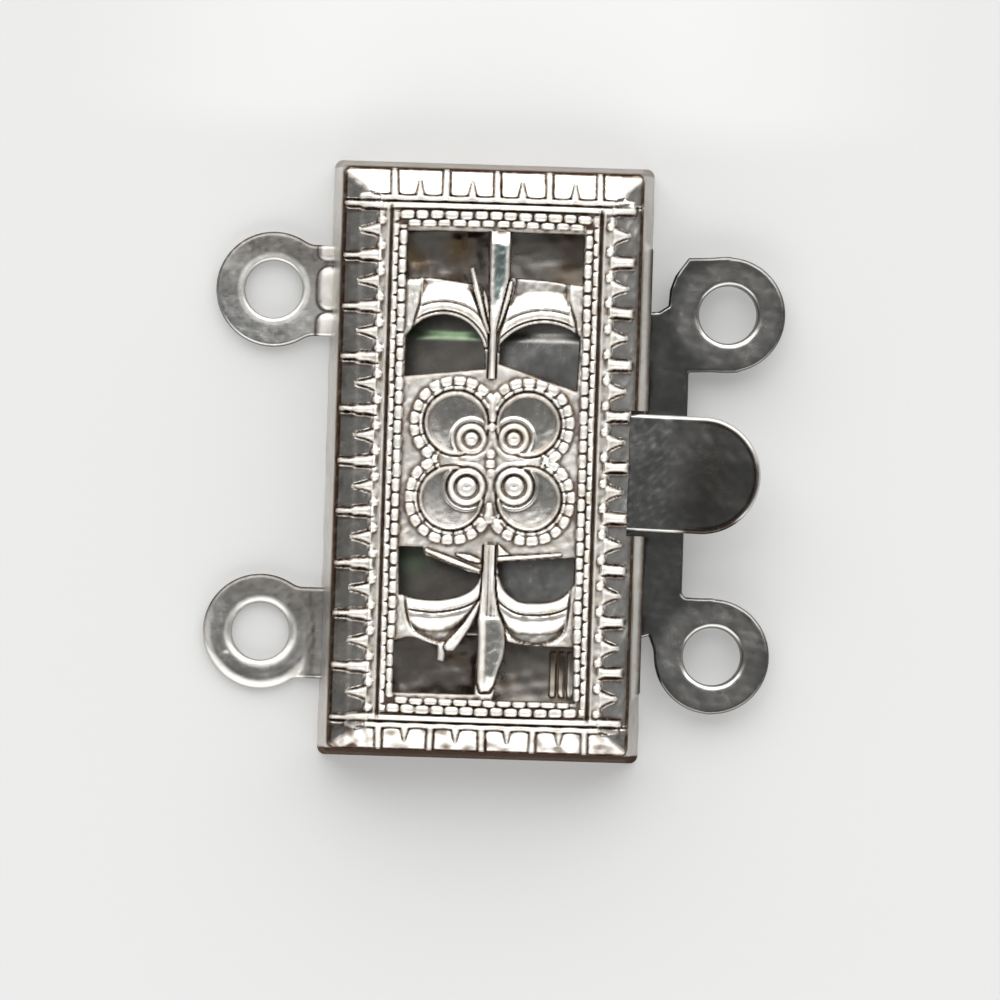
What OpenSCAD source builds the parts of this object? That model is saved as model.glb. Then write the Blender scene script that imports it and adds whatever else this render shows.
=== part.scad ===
// Two-strand filigree box clasp, closed, lying on its back plate.
// +Z is up through the pierced cover, +X points to the tongue and +Y along the box.
// The origin is on the surface it lies on, under the middle of the whole piece.

/* [Box] */
// Width of the box at its foot, along X
foot_w = 9.17; // [9.0:0.01:9.3]
// Length of the box at its foot, along Y
foot_l = 17; // [16.8:0.05:17.2]
// Width at the shoulder edge, where the walls end
shoulder_w = 8.57; // [8.4:0.01:8.7]
// Length at the shoulder edge
shoulder_l = 16.55; // [16.4:0.05:16.7]
// Height of the shoulder edge
shoulder_z = 2.2; // [2.1:0.05:2.3]
// Height of the flat crown between the sloping borders
crown_z = 2.85; // [2.75:0.05:2.95]
// Thickness of the cover sheet
sheet = 0.3; // [0.25:0.01:0.35]
// Thickness of the back plate and its loops
plate = 0.4; // [0.35:0.01:0.4]

/* [Stamped face] */
// How far the stamping sits off the middle of the box, along X
stamp_x = 0.1; // [0:0.01:0.12]
// How far the stamping sits off the middle of the box, along Y
stamp_y = -0.07; // [-0.1:0.01:0]
// Width of the crown between the sloping side borders
crown_w = 6.2; // [6.1:0.01:6.25]
// Length of the crown between the sloping end borders
crown_l = 14.87; // [14.8:0.01:14.95]
// Spacing of the ribs across the borders
rib_pitch = 1.46; // [1.44:0.01:1.48]
// Width of one rib
rib_w = 0.2; // [0.15:0.01:0.25]
// Height of the ribs and darts above the border
rib_h = 0.09; // [0.06:0.01:0.1]
// Length of a dart on a side border
side_dart = 0.8; // [0.6:0.05:0.9]
// Length of a dart on an end border
end_dart = 0.5; // [0.4:0.05:0.6]
// Height of the rails and beads above the crown
bead_h = 0.16; // [0.1:0.01:0.2]
// Spacing of the beads in the frame round the windows
bead_pitch = 0.386; // [0.38:0.002:0.4]
// Length of a bead along its row
bead_l = 0.29; // [0.2:0.01:0.32]
// Width of a bead across its row
bead_w = 0.2; // [0.15:0.01:0.22]

/* [Lily and windows] */
// Half width of the pierced field
field_x = 2.51; // [2.48:0.01:2.55]
// Half length of the pierced field
field_y = 6.65; // [6.6:0.01:6.7]
// Outer edge of the lily's leaves, from the middle of the flower
leaf_y = 5.12; // [5.0:0.01:5.2]
// Radius of the arch under each leaf
arch_r = 1.4; // [1.3:0.01:1.45]
// Distance of each arch's centre from the stem
arch_x = 1.42; // [1.4:0.01:1.45]
// Height of a leaf between its outer edge and the top of its arch
leaf_h = 1.05; // [0.95:0.01:1.15]
// Height of the leaves' own relief above the crown
leaf_relief = 0.1; // [0.06:0.01:0.15]
// Width of the stem
stem_w = 0.23; // [0.2:0.01:0.3]
// Width of the middle petal at the bead frame
petal_w = 0.63; // [0.5:0.01:0.7]
// Edge of the windows next to the flower, at the stem
ledge_mid = 2.78; // [2.7:0.01:2.8]
// Edge of the windows next to the flower, at the side of the field
ledge_side = 2.42; // [2.4:0.01:2.5]

/* [Flower] */
// Distance of each petal's centre from the flower's middle, along X and Y
dish_at = 1.07; // [1.0:0.01:1.1]
// Outer radius of a petal's rim
dish_r = 0.88; // [0.8:0.01:0.92]
// Width of a petal's rim
rim_w = 0.09; // [0.07:0.01:0.12]
// Height of a petal's rim above the crown
rim_h = 0.12; // [0.08:0.01:0.16]
// Distance of each boss from the flower's middle, along X and Y
boss_at = 0.66; // [0.6:0.01:0.7]
// Radius of a boss
boss_r = 0.23; // [0.18:0.01:0.25]
// Outer radius of the ring round a boss
boss_ring_r = 0.48; // [0.44:0.01:0.5]
// Width of the ring round a boss
boss_ring_w = 0.13; // [0.1:0.01:0.16]
// Beads round the outer side of each petal
petal_beads = 9; // [7:2:9]

/* [Loops] */
// Outer diameter of a strand loop
loop_d = 3.28; // [3.2:0.01:3.4]
// Hole diameter of a strand loop
loop_hole_d = 1.64; // [1.5:0.01:1.75]
// Width of the neck of a left loop
neck_w = 2.6; // [2.4:0.05:2.8]

/* [Tongue] */
// Thickness of the tongue strip
strip = 0.35; // [0.3:0.01:0.35]
// Width of the tongue strip
tongue_w = 9.6; // [9.4:0.05:9.8]
// How far the tongue sits off the middle of the box, along Y
tongue_y = -0.2; // [-0.25:0.01:-0.1]
// How far the tongue is turned clockwise by the play in its slot
tongue_skew = 1; // [0:0.1:1]
// Gap between the back plate and the tongue
running_gap = 0.1; // [0.1:0.01:0.12]
// Rise of the spring leaf from the fold to the catch, in degrees
leaf_rise = 4.5; // [4.3:0.1:4.6]
// How far the flat of the tongue reaches from the middle of the box
plate_reach = 5.7; // [5.6:0.01:5.8]
// Width of the thumb tab
tab_w = 3.33; // [3.2:0.01:3.4]
// How far the thumb tab reaches from the middle of the box
tab_reach = 7.83; // [7.6:0.01:8]

/* [Hidden] */
$fn = 48;
// How deep a raised feature is sunk into the sheet that carries it
eps = 0.02;
base_z = crown_z - eps;
// A height above the whole cover, for cuts and slabs
over_z = 4;

// Centre of each left loop, from the middle of the box: [x, y]
LEFT_LOOPS = [[-6.21, 4.74], [-6.3, -5.04]];
// Centre of each right loop, along and across the tongue, and the blank's corner from there: [x, y, corner]
RIGHT_LOOPS = [[6.69, 4.5, [-1.15, 1.58]], [6.69, -5.25, [-1.04, -1.2]]];

loop_r = loop_d / 2;
left_reach = loop_r - min([for (at = LEFT_LOOPS) at[0]]);
tongue_tip = [for (at = RIGHT_LOOPS) at[0] * cos(tongue_skew) + at[1] * sin(tongue_skew)];
right_reach = loop_r + max(tongue_tip);
// The box stands off the origin, so that the loops reach equally far on both sides
box_x = (left_reach - right_reach) / 2;

// How far a wall leans in for each unit of its height
wall_lean = (foot_w - shoulder_w) / 2 / shoulder_z;
// A rail runs along each end of the crown, this far inside its edge
rail_in = 0.13;
rail_w = 0.24;
// Gap between the window field and the nearest row of beads, and between the middles of the two rows
bead_margin = 0.11;
bead_rows = 0.24;
dart_base = 0.5;
end_dart_base = 0.3;
dart_tip = 0.06;
// Angle between two beads round a petal
petal_bead_step = 18;

// The entrance slot in the right wall
slot_l = 12.5;
slot_y = -0.15;
slot_z = 1.8;

// The fold of the tongue: the axis of its bend and its outer radius
fold_x = -3.3;
fold_r = 0.6;
strip_z = plate + running_gap;
fold_z = strip_z + fold_r;
// The leaf ends behind the wall, and the tab goes on from there through the notch
leaf_end = 3.65;
leaf_top = fold_z + (leaf_end - fold_x) * sin(leaf_rise) + fold_r * cos(leaf_rise);
tab_y = tongue_y + 0.07;
notch_y = tab_y - foot_w / 2 * sin(tongue_skew);
notch_w = tab_w + 0.24;
notch_z = 2.42;
// A cut through a side wall begins this far from the middle, inside the wall
wall_cut = 3;
fit_gap = 0.04;

// Points of a stamped dome's section: straight walls, a shoulder edge, then arcs up to a flat crown.
// low and high are where the flat begins and ends, and d is how far the section lies inside the outer face.
function arc_radius(run, rise) = (run * run + rise * rise) / (2 * rise);
function arc_points(flat, shoulder, d, side) =
    let (run = abs(shoulder - flat), rise = crown_z - shoulder_z,
         r = arc_radius(run, rise), steps = 6, sweep = asin(run / r))
    [for (i = [0 : steps]) let (a = sweep * i / steps)
        [flat + side * (run * sin(a) / sin(sweep)), crown_z - d - (r - r * cos(a))]];
function reversed(list) = [for (i = [len(list) - 1 : -1 : 0]) list[i]];
function dome_section(foot, shoulder, low, high, d, bottom) = concat(
    [[-foot / 2 + d, bottom]],
    reversed(arc_points(low, -shoulder / 2 + d, d, -1)),
    arc_points(high, shoulder / 2 - d, d, 1),
    [[foot / 2 - d, bottom]]);

module dome(d, bottom = 0) {
    flat_x = [stamp_x - crown_w / 2, stamp_x + crown_w / 2];
    flat_y = [stamp_y - crown_l / 2, stamp_y + crown_l / 2];
    intersection() {
        rotate([90, 0, 0]) linear_extrude(foot_l + 1, center = true)
            polygon(dome_section(foot_w, shoulder_w, flat_x[0], flat_x[1], d, bottom));
        rotate([90, 0, 90]) linear_extrude(foot_w + 1, center = true)
            polygon(dome_section(foot_l, shoulder_l, flat_y[0], flat_y[1], d, bottom));
    }
}

// A block between two corners, by default the slab that the borders' relief is cut from
module bar(x0, x1, y0, y1, z0 = shoulder_z - 0.1, z1 = over_z) {
    translate([x0, y0, z0]) cube([x1 - x0, y1 - y0, z1 - z0]);
}

// A pointed dart, wide at its base and narrow at its tip, standing in the slab that the border is cut from
module dart(base, tip, width) {
    translate([0, 0, shoulder_z]) linear_extrude(over_z - shoulder_z)
        polygon([[base, -width / 2], [tip, -dart_tip / 2], [tip, dart_tip / 2], [base, width / 2]]);
}

// Ribs, darts and rails follow the dome, so they are bars and wedges cut by a slightly larger dome
module border_relief() {
    cx = crown_w / 2;
    cy = crown_l / 2;
    half = rib_w / 2;
    rail_y = cy - rail_in;
    intersection() {
        dome(-rib_h);
        translate([stamp_x, stamp_y, 0]) {
            for (turn = [0, 180]) rotate(turn) {
                for (i = [-2 : 2])
                    translate([i * rib_pitch, 0, 0]) bar(-half, half, cy, foot_l);
                for (i = [-4 : 4])
                    translate([0, i * rib_pitch, 0]) bar(cx, foot_w, -half, half);
                for (i = [-4.5 : 4.5])
                    translate([0, i * rib_pitch, 0]) dart(cx, cx + side_dart, dart_base);
                for (i = [-1.5 : 1.5])
                    translate([i * rib_pitch, 0, 0]) rotate(90) dart(cy, cy + end_dart, end_dart_base);
                bar(-foot_w, foot_w, rail_y - rail_w / 2, rail_y + rail_w / 2);
            }
        }
    }
}

// A double row of small square beads along a straight line from -reach to reach
module bead_row(reach, count) {
    for (i = [0 : count - 1], row = [0, 1])
        translate([-reach + (i + 0.5) * 2 * reach / count, row * bead_rows, base_z + bead_h / 2])
            cube([bead_l, bead_w, bead_h], center = true);
}

module bead_frame() {
    across = round(2 * field_x / bead_pitch);
    along = round(2 * field_y / bead_pitch);
    for (turn = [0, 180]) rotate(turn) {
        translate([0, field_y + bead_margin, 0]) bead_row(field_x, across);
        rotate(-90) translate([0, field_x + bead_margin, 0]) bead_row(field_y, along);
    }
}

// Half of the lily, above the flower: the middle petal with the stem, the leaves and the windows round them
module petal_2d() {
    taper = 0.04;
    neck_y = leaf_y - 1.2;
    polygon([[-petal_w / 2, field_y + eps], [-petal_w / 2 + taper, leaf_y], [-stem_w / 2, neck_y],
        [-stem_w / 2, dish_at], [stem_w / 2, dish_at], [stem_w / 2, neck_y],
        [petal_w / 2 - taper, leaf_y], [petal_w / 2, field_y + eps]]);
}

module arch_2d(grow = 0) {
    springing = leaf_y - leaf_h - arch_r;
    for (side = [-1, 1]) {
        translate([side * arch_x, springing]) circle(arch_r + grow);
        translate([side * arch_x - arch_r - grow, 0]) square([2 * (arch_r + grow), springing]);
    }
}

// The part of the field between two heights, held back from its sides by a margin
module field_2d(low, high, margin = 0) {
    half = field_x - margin;
    translate([-half, low]) square([2 * half, high - low]);
}

module windows_2d() {
    difference() {
        field_2d(leaf_y, field_y);
        petal_2d();
    }
    difference() {
        intersection() {
            arch_2d();
            field_2d(dish_at, leaf_y);
        }
        // The ledge between these windows and the beads round the flower
        polygon([[-field_x, 0], [-field_x, ledge_side], [-stem_w, ledge_mid], [stem_w, ledge_mid],
            [field_x, ledge_side], [field_x, 0]]);
        petal_2d();
    }
}

module leaves_2d() {
    difference() {
        field_2d(leaf_y - 1.75, leaf_y, 0.12);
        arch_2d();
    }
}

module leaf_rim_2d() {
    intersection() {
        difference() {
            arch_2d(0.2);
            arch_2d();
        }
        field_2d(leaf_y - 1.8, leaf_y, 0.1);
    }
}

module lily() {
    translate([0, 0, base_z]) {
        linear_extrude(leaf_relief) leaves_2d();
        linear_extrude(leaf_relief + 0.08) leaf_rim_2d();
        linear_extrude(leaf_relief + 0.04) petal_2d();
    }
}

// One petal of the flower: its rim, its boss in a ring, and two rows of beads round its outer side
module petal(qx, qy) {
    outward = atan2(qy, qx);
    translate([qx * dish_at, qy * dish_at, base_z]) {
        difference() {
            cylinder(h = rim_h + eps, r = dish_r);
            translate([0, 0, eps]) cylinder(h = 1, r = dish_r - rim_w);
        }
        for (row = [0, 1], i = [0 : petal_beads - 1])
            rotate(outward + (i - (petal_beads - 1) / 2) * petal_bead_step)
                translate([dish_r + bead_margin + bead_w / 4 + row * bead_rows, 0, bead_h / 2])
                    cube([bead_w, bead_l - 0.03, bead_h], center = true);
    }
    translate([qx * boss_at, qy * boss_at, base_z]) {
        difference() {
            cylinder(h = rim_h + 2 * eps, r = boss_ring_r);
            translate([0, 0, -sheet]) cylinder(h = 1, r = boss_ring_r - boss_ring_w);
        }
        intersection() {
            sphere(boss_r);
            cylinder(h = 1, r = 1);
        }
    }
}

module flower() {
    bar_y = [dish_at, dish_at + dish_r];
    for (qx = [-1, 1], qy = [-1, 1]) petal(qx, qy);
    for (turn = [0, 180]) rotate(turn)
        bar(-stem_w / 2, stem_w / 2, bar_y[0], bar_y[1], base_z, crown_z + rim_h);
    translate([0, 0, base_z]) cylinder(h = bead_h, r = bead_l / 2);
}

module cover() {
    color("silver") translate([box_x, 0, 0]) difference() {
        union() {
            dome(0);
            border_relief();
            translate([stamp_x, stamp_y, 0]) {
                bead_frame();
                flower();
                for (side = [0, 1]) mirror([0, side, 0]) lily();
            }
        }
        dome(sheet, -eps);
        translate([stamp_x, stamp_y, shoulder_z - 1]) linear_extrude(over_z)
            for (side = [0, 1]) mirror([0, side, 0]) windows_2d();
        // Entrance for the tongue, with the notch for the thumb tab above it
        bar(wall_cut, foot_w, slot_y - slot_l / 2, slot_y + slot_l / 2, -1, slot_z);
        bar(wall_cut, foot_w, notch_y - notch_w / 2, notch_y + notch_w / 2, 0, notch_z);
        // Cut-outs for the necks of the left loops
        for (at = LEFT_LOOPS)
            bar(-foot_w, -wall_cut, at[1] - neck_w / 2 - fit_gap, at[1] + neck_w / 2 + fit_gap,
                -1, plate + fit_gap);
    }
}

module back_plate() {
    inside_w = foot_w - 2 * sheet - 2 * wall_lean * plate - 1.5 * fit_gap;
    inside_l = foot_l - 2 * sheet - 4 * fit_gap;
    sill_l = slot_l - 2 * fit_gap;
    color("silver") translate([box_x, 0, 0]) difference() {
        union() {
            translate([-inside_w / 2, -inside_l / 2, 0]) cube([inside_w, inside_l, plate]);
            // The sill of the entrance slot, flush with the wall
            translate([0, slot_y - sill_l / 2, 0]) cube([foot_w / 2, sill_l, plate]);
            for (at = LEFT_LOOPS) {
                translate([at[0], at[1], 0]) cylinder(h = plate, r = loop_r);
                translate([at[0], at[1] - neck_w / 2, 0]) cube([-at[0], neck_w, plate]);
            }
        }
        for (at = LEFT_LOOPS)
            translate([at[0], at[1], -1]) cylinder(h = 2, d = loop_hole_d);
    }
}

// The tongue's pieces are drawn along X and then turned by the play in the slot
module on_tongue() {
    translate([box_x, 0, 0]) rotate(-tongue_skew) children();
}

// Outline of the tongue: a straight outer edge with a loop at each end, joined to it by a square-cornered web
module tongue_outline_2d() {
    half = tongue_w / 2;
    root = foot_w / 2;
    translate([fold_x, tongue_y - half]) square([plate_reach - fold_x, 2 * half]);
    for (at = RIGHT_LOOPS) {
        side = sign(at[1]);
        translate([at[0], at[1]]) circle(loop_r);
        polygon([[plate_reach - 0.7, at[1] - side * loop_r], [at[0], at[1] - side * loop_r],
            [at[0], at[1] + side * loop_r], [at[0] + at[2][0], at[1] + at[2][1]],
            [at[0] - loop_r - eps, at[1] + side * 0.2],
            [root, tongue_y + side * half], [root, tongue_y + side * (half - 1)]]);
    }
}

module tongue_plate() {
    color("dimgray") on_tongue() {
        difference() {
            translate([0, 0, strip_z]) linear_extrude(strip) tongue_outline_2d();
            for (at = RIGHT_LOOPS)
                translate([at[0], at[1], 0]) cylinder(h = 2, d = loop_hole_d);
        }
        // The bend that turns the strip back on itself
        translate([fold_x, tongue_y, fold_z]) rotate([90, 0, 0]) difference() {
            cylinder(h = tongue_w, r = fold_r, center = true);
            cylinder(h = tongue_w + 1, r = fold_r - strip, center = true);
            rotate(leaf_rise) translate([0, -2 * fold_r, -tongue_w])
                cube([2 * fold_r, 4 * fold_r, 2 * tongue_w]);
        }
    }
}

module spring_leaf() {
    color("dimgray") on_tongue() intersection() {
        translate([fold_x, tongue_y, fold_z]) rotate([0, -leaf_rise, 0])
            translate([0, -tongue_w / 2, fold_r - strip]) cube([foot_l, tongue_w, strip]);
        bar(-foot_w, leaf_end, -foot_l, foot_l, 0);
    }
}

module thumb_tab() {
    color("silver") on_tongue() translate([0, tab_y, leaf_top - strip]) {
        translate([leaf_end, -tab_w / 2, 0]) cube([tab_reach - tab_w / 2 - leaf_end, tab_w, strip]);
        translate([tab_reach - tab_w / 2, 0, 0]) cylinder(h = strip, d = tab_w);
    }
}

cover();
back_plate();
tongue_plate();
spring_leaf();
thumb_tab();
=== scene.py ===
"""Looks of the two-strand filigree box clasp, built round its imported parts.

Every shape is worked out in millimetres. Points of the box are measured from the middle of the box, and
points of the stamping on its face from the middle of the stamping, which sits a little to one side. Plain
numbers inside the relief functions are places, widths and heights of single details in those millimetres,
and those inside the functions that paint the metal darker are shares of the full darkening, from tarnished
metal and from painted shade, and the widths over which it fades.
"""
import math

import bmesh
import bpy
import numpy as np
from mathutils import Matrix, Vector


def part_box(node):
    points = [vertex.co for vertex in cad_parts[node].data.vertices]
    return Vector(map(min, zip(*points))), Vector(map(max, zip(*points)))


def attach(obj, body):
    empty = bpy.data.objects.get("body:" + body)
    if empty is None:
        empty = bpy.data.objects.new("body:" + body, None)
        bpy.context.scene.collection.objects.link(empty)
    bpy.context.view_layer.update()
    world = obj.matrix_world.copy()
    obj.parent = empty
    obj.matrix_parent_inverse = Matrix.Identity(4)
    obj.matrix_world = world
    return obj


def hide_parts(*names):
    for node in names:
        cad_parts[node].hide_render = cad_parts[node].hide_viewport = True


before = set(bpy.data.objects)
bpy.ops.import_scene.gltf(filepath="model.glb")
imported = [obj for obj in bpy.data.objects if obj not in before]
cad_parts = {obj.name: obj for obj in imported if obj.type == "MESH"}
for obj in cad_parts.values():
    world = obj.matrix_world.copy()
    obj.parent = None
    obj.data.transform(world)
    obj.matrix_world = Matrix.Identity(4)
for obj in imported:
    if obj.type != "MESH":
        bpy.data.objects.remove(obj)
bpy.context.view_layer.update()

MM = 0.001
TAU = 2 * math.pi


def corners(node):
    """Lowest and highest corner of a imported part, in millimetres."""
    return [np.array(corner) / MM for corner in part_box(node)]


COVER_LOW, COVER_HIGH = corners("cover")
TAB_LOW, TAB_HIGH = corners("thumb_tab")
PLATE_TOP = corners("back_plate")[1][2]
TONGUE_BOTTOM = corners("tongue_plate")[0][2]
BOX_X = (COVER_LOW[0] + COVER_HIGH[0]) / 2

# The box: half sizes at the foot and at the shoulder edge, and heights
FOOT = (COVER_HIGH - COVER_LOW)[:2] / 2
WALL_LEAN = [0.3, 0.225]
SHOULDER = FOOT - WALL_LEAN
SHOULDER_Z = 2.2
CROWN_Z = 2.85
SHEET = 0.3
STRIP = 0.35

# The stamping: its middle, the groove round its face, and the ledge where the borders begin to slope
STAMP = np.array([0.1, -0.07])
GROOVE = np.array([3.0, 7.4])
LEDGE = np.array([3.33, 7.56])
LEDGE_DROP = 0.05
RIB_PITCH = 1.46
RIB_H = 0.1
RIM_Z = 2.26

# Openings of the cover
RIGHT_WALL_X = (3.0, 5.5)
LEFT_WALL_X = (-5.5, -3.0)
SLOT_Y = (-6.4, 6.1)
SLOT_Z = 1.8
NOTCH_W = 3.57
NOTCH_Z = 2.42
LEFT_LOOPS = [(-6.21, 4.74), (-6.3, -5.04)]
NECK_HALF = 1.3
GAP = 0.04

# Strand loops
LOOP_R = 1.64
LOOP_HOLE = 0.82


def clamp(t):
    return np.clip(t, 0.0, 1.0)


def smooth(t):
    """An S-shaped step from 0 to 1."""
    t = clamp(t)
    return t * t * (3 - 2 * t)


def mound(distance, width, height):
    """A rise with a quarter-round edge inside a region, whose signed distance is negative inside."""
    t = clamp(-distance / width)
    return height * np.sqrt(1 - (1 - t) ** 2)


def dome(distance, radius, height):
    """A round bump over its middle, where distance is 0."""
    return height * np.sqrt(clamp(1 - (distance / radius) ** 2))


def welt(distance, half, height, square=2, fall=0.5):
    """A raised line: a larger square flattens its top, and a smaller fall steepens its sides."""
    return height * clamp(1 - np.abs(distance / half) ** square) ** fall


def raised(relief, shape):
    """Relief with another shape standing on it, wherever that shape has height."""
    return np.where(shape > 0, np.maximum(relief, shape), relief)


def ridge(distance, width):
    """A rounded line along distance 0, 1 high."""
    return np.exp(-(distance / width) ** 2)


def within(region, blend=0.05):
    """1 inside a region, whose signed distance is given, falling to 0 at its edge."""
    return smooth(-region / blend)


def ripple(x, y, length, seed):
    """Smooth seeded unevenness between about -1 and 1, with waves about as long as length."""
    rng = np.random.default_rng(seed)
    total = np.zeros(np.shape(x))
    waves = 8
    for _ in range(waves):
        angle, phase = rng.uniform(0, TAU, 2)
        k = TAU / length * rng.uniform(0.6, 1.5)
        total += np.sin(k * (x * math.cos(angle) + y * math.sin(angle)) + phase)
    return total / (waves / 2)


def circle(x, y, centre, radius):
    return np.hypot(x - centre[0], y - centre[1]) - radius


def stroke(x, y, points, widths):
    """Signed distance to a line through points, as wide at each point as widths says."""
    best = np.full(np.shape(x), 99.0)
    ends = list(zip(points, widths))
    for (a, wide_a), (b, wide_b) in zip(ends, ends[1:]):
        dx, dy = b[0] - a[0], b[1] - a[1]
        t = clamp(((x - a[0]) * dx + (y - a[1]) * dy) / (dx * dx + dy * dy))
        away = np.hypot(x - a[0] - t * dx, y - a[1] - t * dy)
        best = np.minimum(best, away - (wide_a + (wide_b - wide_a) * t) / 2)
    return best


def polygon(x, y, points):
    """Signed distance to a closed outline."""
    best = np.full(np.shape(x), 99.0)
    inside = np.zeros(np.shape(x), bool)
    for a, b in zip(points, points[1:] + points[:1]):
        dx, dy = b[0] - a[0], b[1] - a[1]
        t = clamp(((x - a[0]) * dx + (y - a[1]) * dy) / max(dx * dx + dy * dy, 1e-12))
        best = np.minimum(best, np.hypot(x - a[0] - t * dx, y - a[1] - t * dy))
        if a[1] != b[1]:
            crosses = (a[1] > y) != (b[1] > y)
            inside ^= crosses & (x < a[0] + (y - a[1]) * dx / dy)
    return np.where(inside, -best, best)


def merged(a, b, blend):
    """Two signed distances as one region with a fillet where they meet."""
    h = clamp(0.5 + 0.5 * (b - a) / blend)
    return b + (a - b) * h - blend * h * (1 - h)


def arc(centre, radius, start, end, steps=20):
    """Points along an arc, with its angles in degrees."""
    angles = [math.radians(start + (end - start) * i / steps) for i in range(steps + 1)]
    return [(centre[0] + radius * math.cos(a), centre[1] + radius * math.sin(a)) for a in angles]


def curve(points, steps=5):
    """A smooth line through points, with this many steps between two of them."""
    p = np.array([points[0]] + list(points) + [points[-1]], float)
    line = []
    for k in range(1, len(p) - 2):
        for t in np.arange(steps) / steps:
            a = 2 * p[k] + (p[k + 1] - p[k - 1]) * t
            b = (2 * p[k - 1] - 5 * p[k] + 4 * p[k + 1] - p[k + 2]) * t ** 2
            c = (3 * p[k] - p[k - 1] - 3 * p[k + 1] + p[k + 2]) * t ** 3
            line.append(tuple((a + b + c) / 2))
    return line + [tuple(p[-1])]


# Windows of the face, from the middle of the stamping. The upper inner pair has round arches.
ARCHES = [((-1.416, 3.0), 1.19), ((1.467, 2.43), 1.59)]
WINDOWS = {
    "upper_left": [(-2.49, 6.56), (-0.23, 6.57), (-0.2, 5.25), (-0.11, 4.55), (-0.42, 5.15), (-0.6, 5.57),
                   (-0.73, 5.5)] + curve([(-0.63, 5.11), (-1.24, 5.18), (-1.84, 5.25), (-2.49, 5.21)]),
    "upper_right": [(0.44, 6.58), (2.48, 6.58)]
                   + curve([(2.48, 5.16), (2.07, 5.18), (1.44, 5.26), (0.64, 5.3), (0.44, 5.31)]),
    "arch_left": [(-2.46, 2.44), (-0.22, 2.7)] + arc(*ARCHES[0], 0, 152) + [(-2.46, 3.5)],
    "arch_right": [(0.21, 2.85), (0.21, 3.41)] + arc(*ARCHES[1], 142, 52)[1:] + [(2.45, 3.6), (2.4, 2.14)],
    "bowl_left": [(-2.49, -2.42), (-1.84, -2.42), (-1.75, -2.65)]
                 + curve([(-0.2, -3.17), (-0.27, -3.4), (-0.47, -3.62), (-0.84, -3.79), (-1.38, -3.89),
                          (-1.98, -3.86), (-2.44, -3.76)]),
    "bowl_right": [(0.3, -2.79), (2.49, -2.6)]
                  + curve([(2.49, -3.36), (2.18, -3.7), (1.75, -3.87), (1.1, -3.89), (0.78, -3.76),
                           (0.53, -3.53), (0.37, -3.16)]),
    "lower_left": curve([(-2.56, -5.1), (-2.09, -4.98), (-1.64, -5.1), (-1.32, -5.2)])
                  + [(-1.33, -5.62), (-1.12, -5.66), (-1.07, -5.35), (-0.87, -5.32)]
                  + curve([(-0.7, -5.15), (-0.61, -5.01), (-0.36, -4.64), (-0.2, -4.36)])
                  + [(-0.19, -5.3), (-0.24, -6.55), (-2.56, -6.55)],
    "lower_right": curve([(0.64, -5.03), (1.2, -5.12), (1.8, -5.13), (2.55, -5.16)])
                   + [(2.59, -6.71), (0.3, -6.71), (0.36, -6.32), (0.5, -5.73), (0.61, -5.36)],
}
WINDOW_EDGE = 0.07

# Flower: middles of the four dishes, and each boss with the radius, half width and height of its ring
DISH_R = 0.85
DISHES = [(-0.98, 1.14), (1.07, 1.15), (-1.07, -1.0), (1.15, -0.97)]
BOSSES = [((-0.53, 0.69), 0.36, 0.07, 0.05), ((0.67, 0.73), 0.36, 0.07, 0.05),
          ((-0.63, -0.67), 0.45, 0.09, 0.09), ((0.72, -0.62), 0.45, 0.09, 0.09)]

# The rows of beads round a dish, each with its radius, width and height
BEAD_ROWS = [(0.99, 0.15, 0.08), (1.19, 0.27, 0.12)]
BEAD_STEP = math.radians(17.5)

# The small beads on the middle line of the flower, each with its radius. The last two belong to its trefoil.
MIDDLE_BEADS = [((0.04, 1.05), 0.12), ((0.03, 0.27), 0.14), ((0.03, 0.0), 0.15), ((0.04, -0.25), 0.13),
                ((-0.2, -1.68), 0.16), ((0.23, -1.68), 0.16)]


def pillows(along, across, pitch, length, width, height, seed):
    """A row of domed beads: along runs down the row, and across is measured from its middle line."""
    kinds = 101
    shift = 0.012
    uneven = np.random.default_rng(seed).uniform(-1, 1, (4, kinds))
    index = np.floor(along / pitch)
    which = index.astype(int) % kinds
    a = (along / pitch - index - 0.5) * pitch + shift * uneven[0][which]
    a = a / (length / 2 * (1 + 0.1 * uneven[1][which]))
    b = (across + shift * uneven[2][which]) / (width / 2)
    rise = np.sqrt(clamp(1 - np.abs(a) ** 3.6 - np.abs(b) ** 3.0))
    return height * (1 + 0.2 * uneven[3][which]) * rise


def window_distance(x, y):
    return np.min([polygon(x, y, outline) for outline in WINDOWS.values()], axis=0)


def border_shares(x, y):
    """How far a point lies from the ledge to the shoulder edge, at the sides and at the ends."""
    u, v = np.abs(x), np.abs(y)
    shoulder_u = np.where(x < 0, SHOULDER[0] + STAMP[0], SHOULDER[0] - STAMP[0])
    shoulder_v = np.where(y < 0, SHOULDER[1] + STAMP[1], SHOULDER[1] - STAMP[1])
    return (u - LEDGE[0]) / (shoulder_u - LEDGE[0]), (v - LEDGE[1]) / (shoulder_v - LEDGE[1])


# The knobs of the side borders, and the ledge of the end borders
KNOB_X = 3.25
END_LEDGE = 7.475

# How far darts reach towards the shoulder edge, on the side borders and on the end borders
SIDE_DART_TIP = 0.58
END_DART_TIP = 0.66


def border_base(x, y):
    """The smooth part of the face: a flat crown, a low step at the ledge, and sloping borders."""
    top = CROWN_Z - LEDGE_DROP
    shares = border_shares(x, y)
    side, end = [top - (top - RIM_Z) * np.sign(share) * np.abs(share) ** 1.12 for share in shares]
    both = merged(side, end, 0.2)
    return np.where(np.maximum(*shares) > 0, np.minimum(both, top), CROWN_Z)


def wavy_y(x, y):
    """The place along a side border, as uneven as its ribs are."""
    return y + 0.03 * ripple(x, y, 3.0, 12)


def from_rib(along):
    return along - np.round(along / RIB_PITCH) * RIB_PITCH


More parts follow.
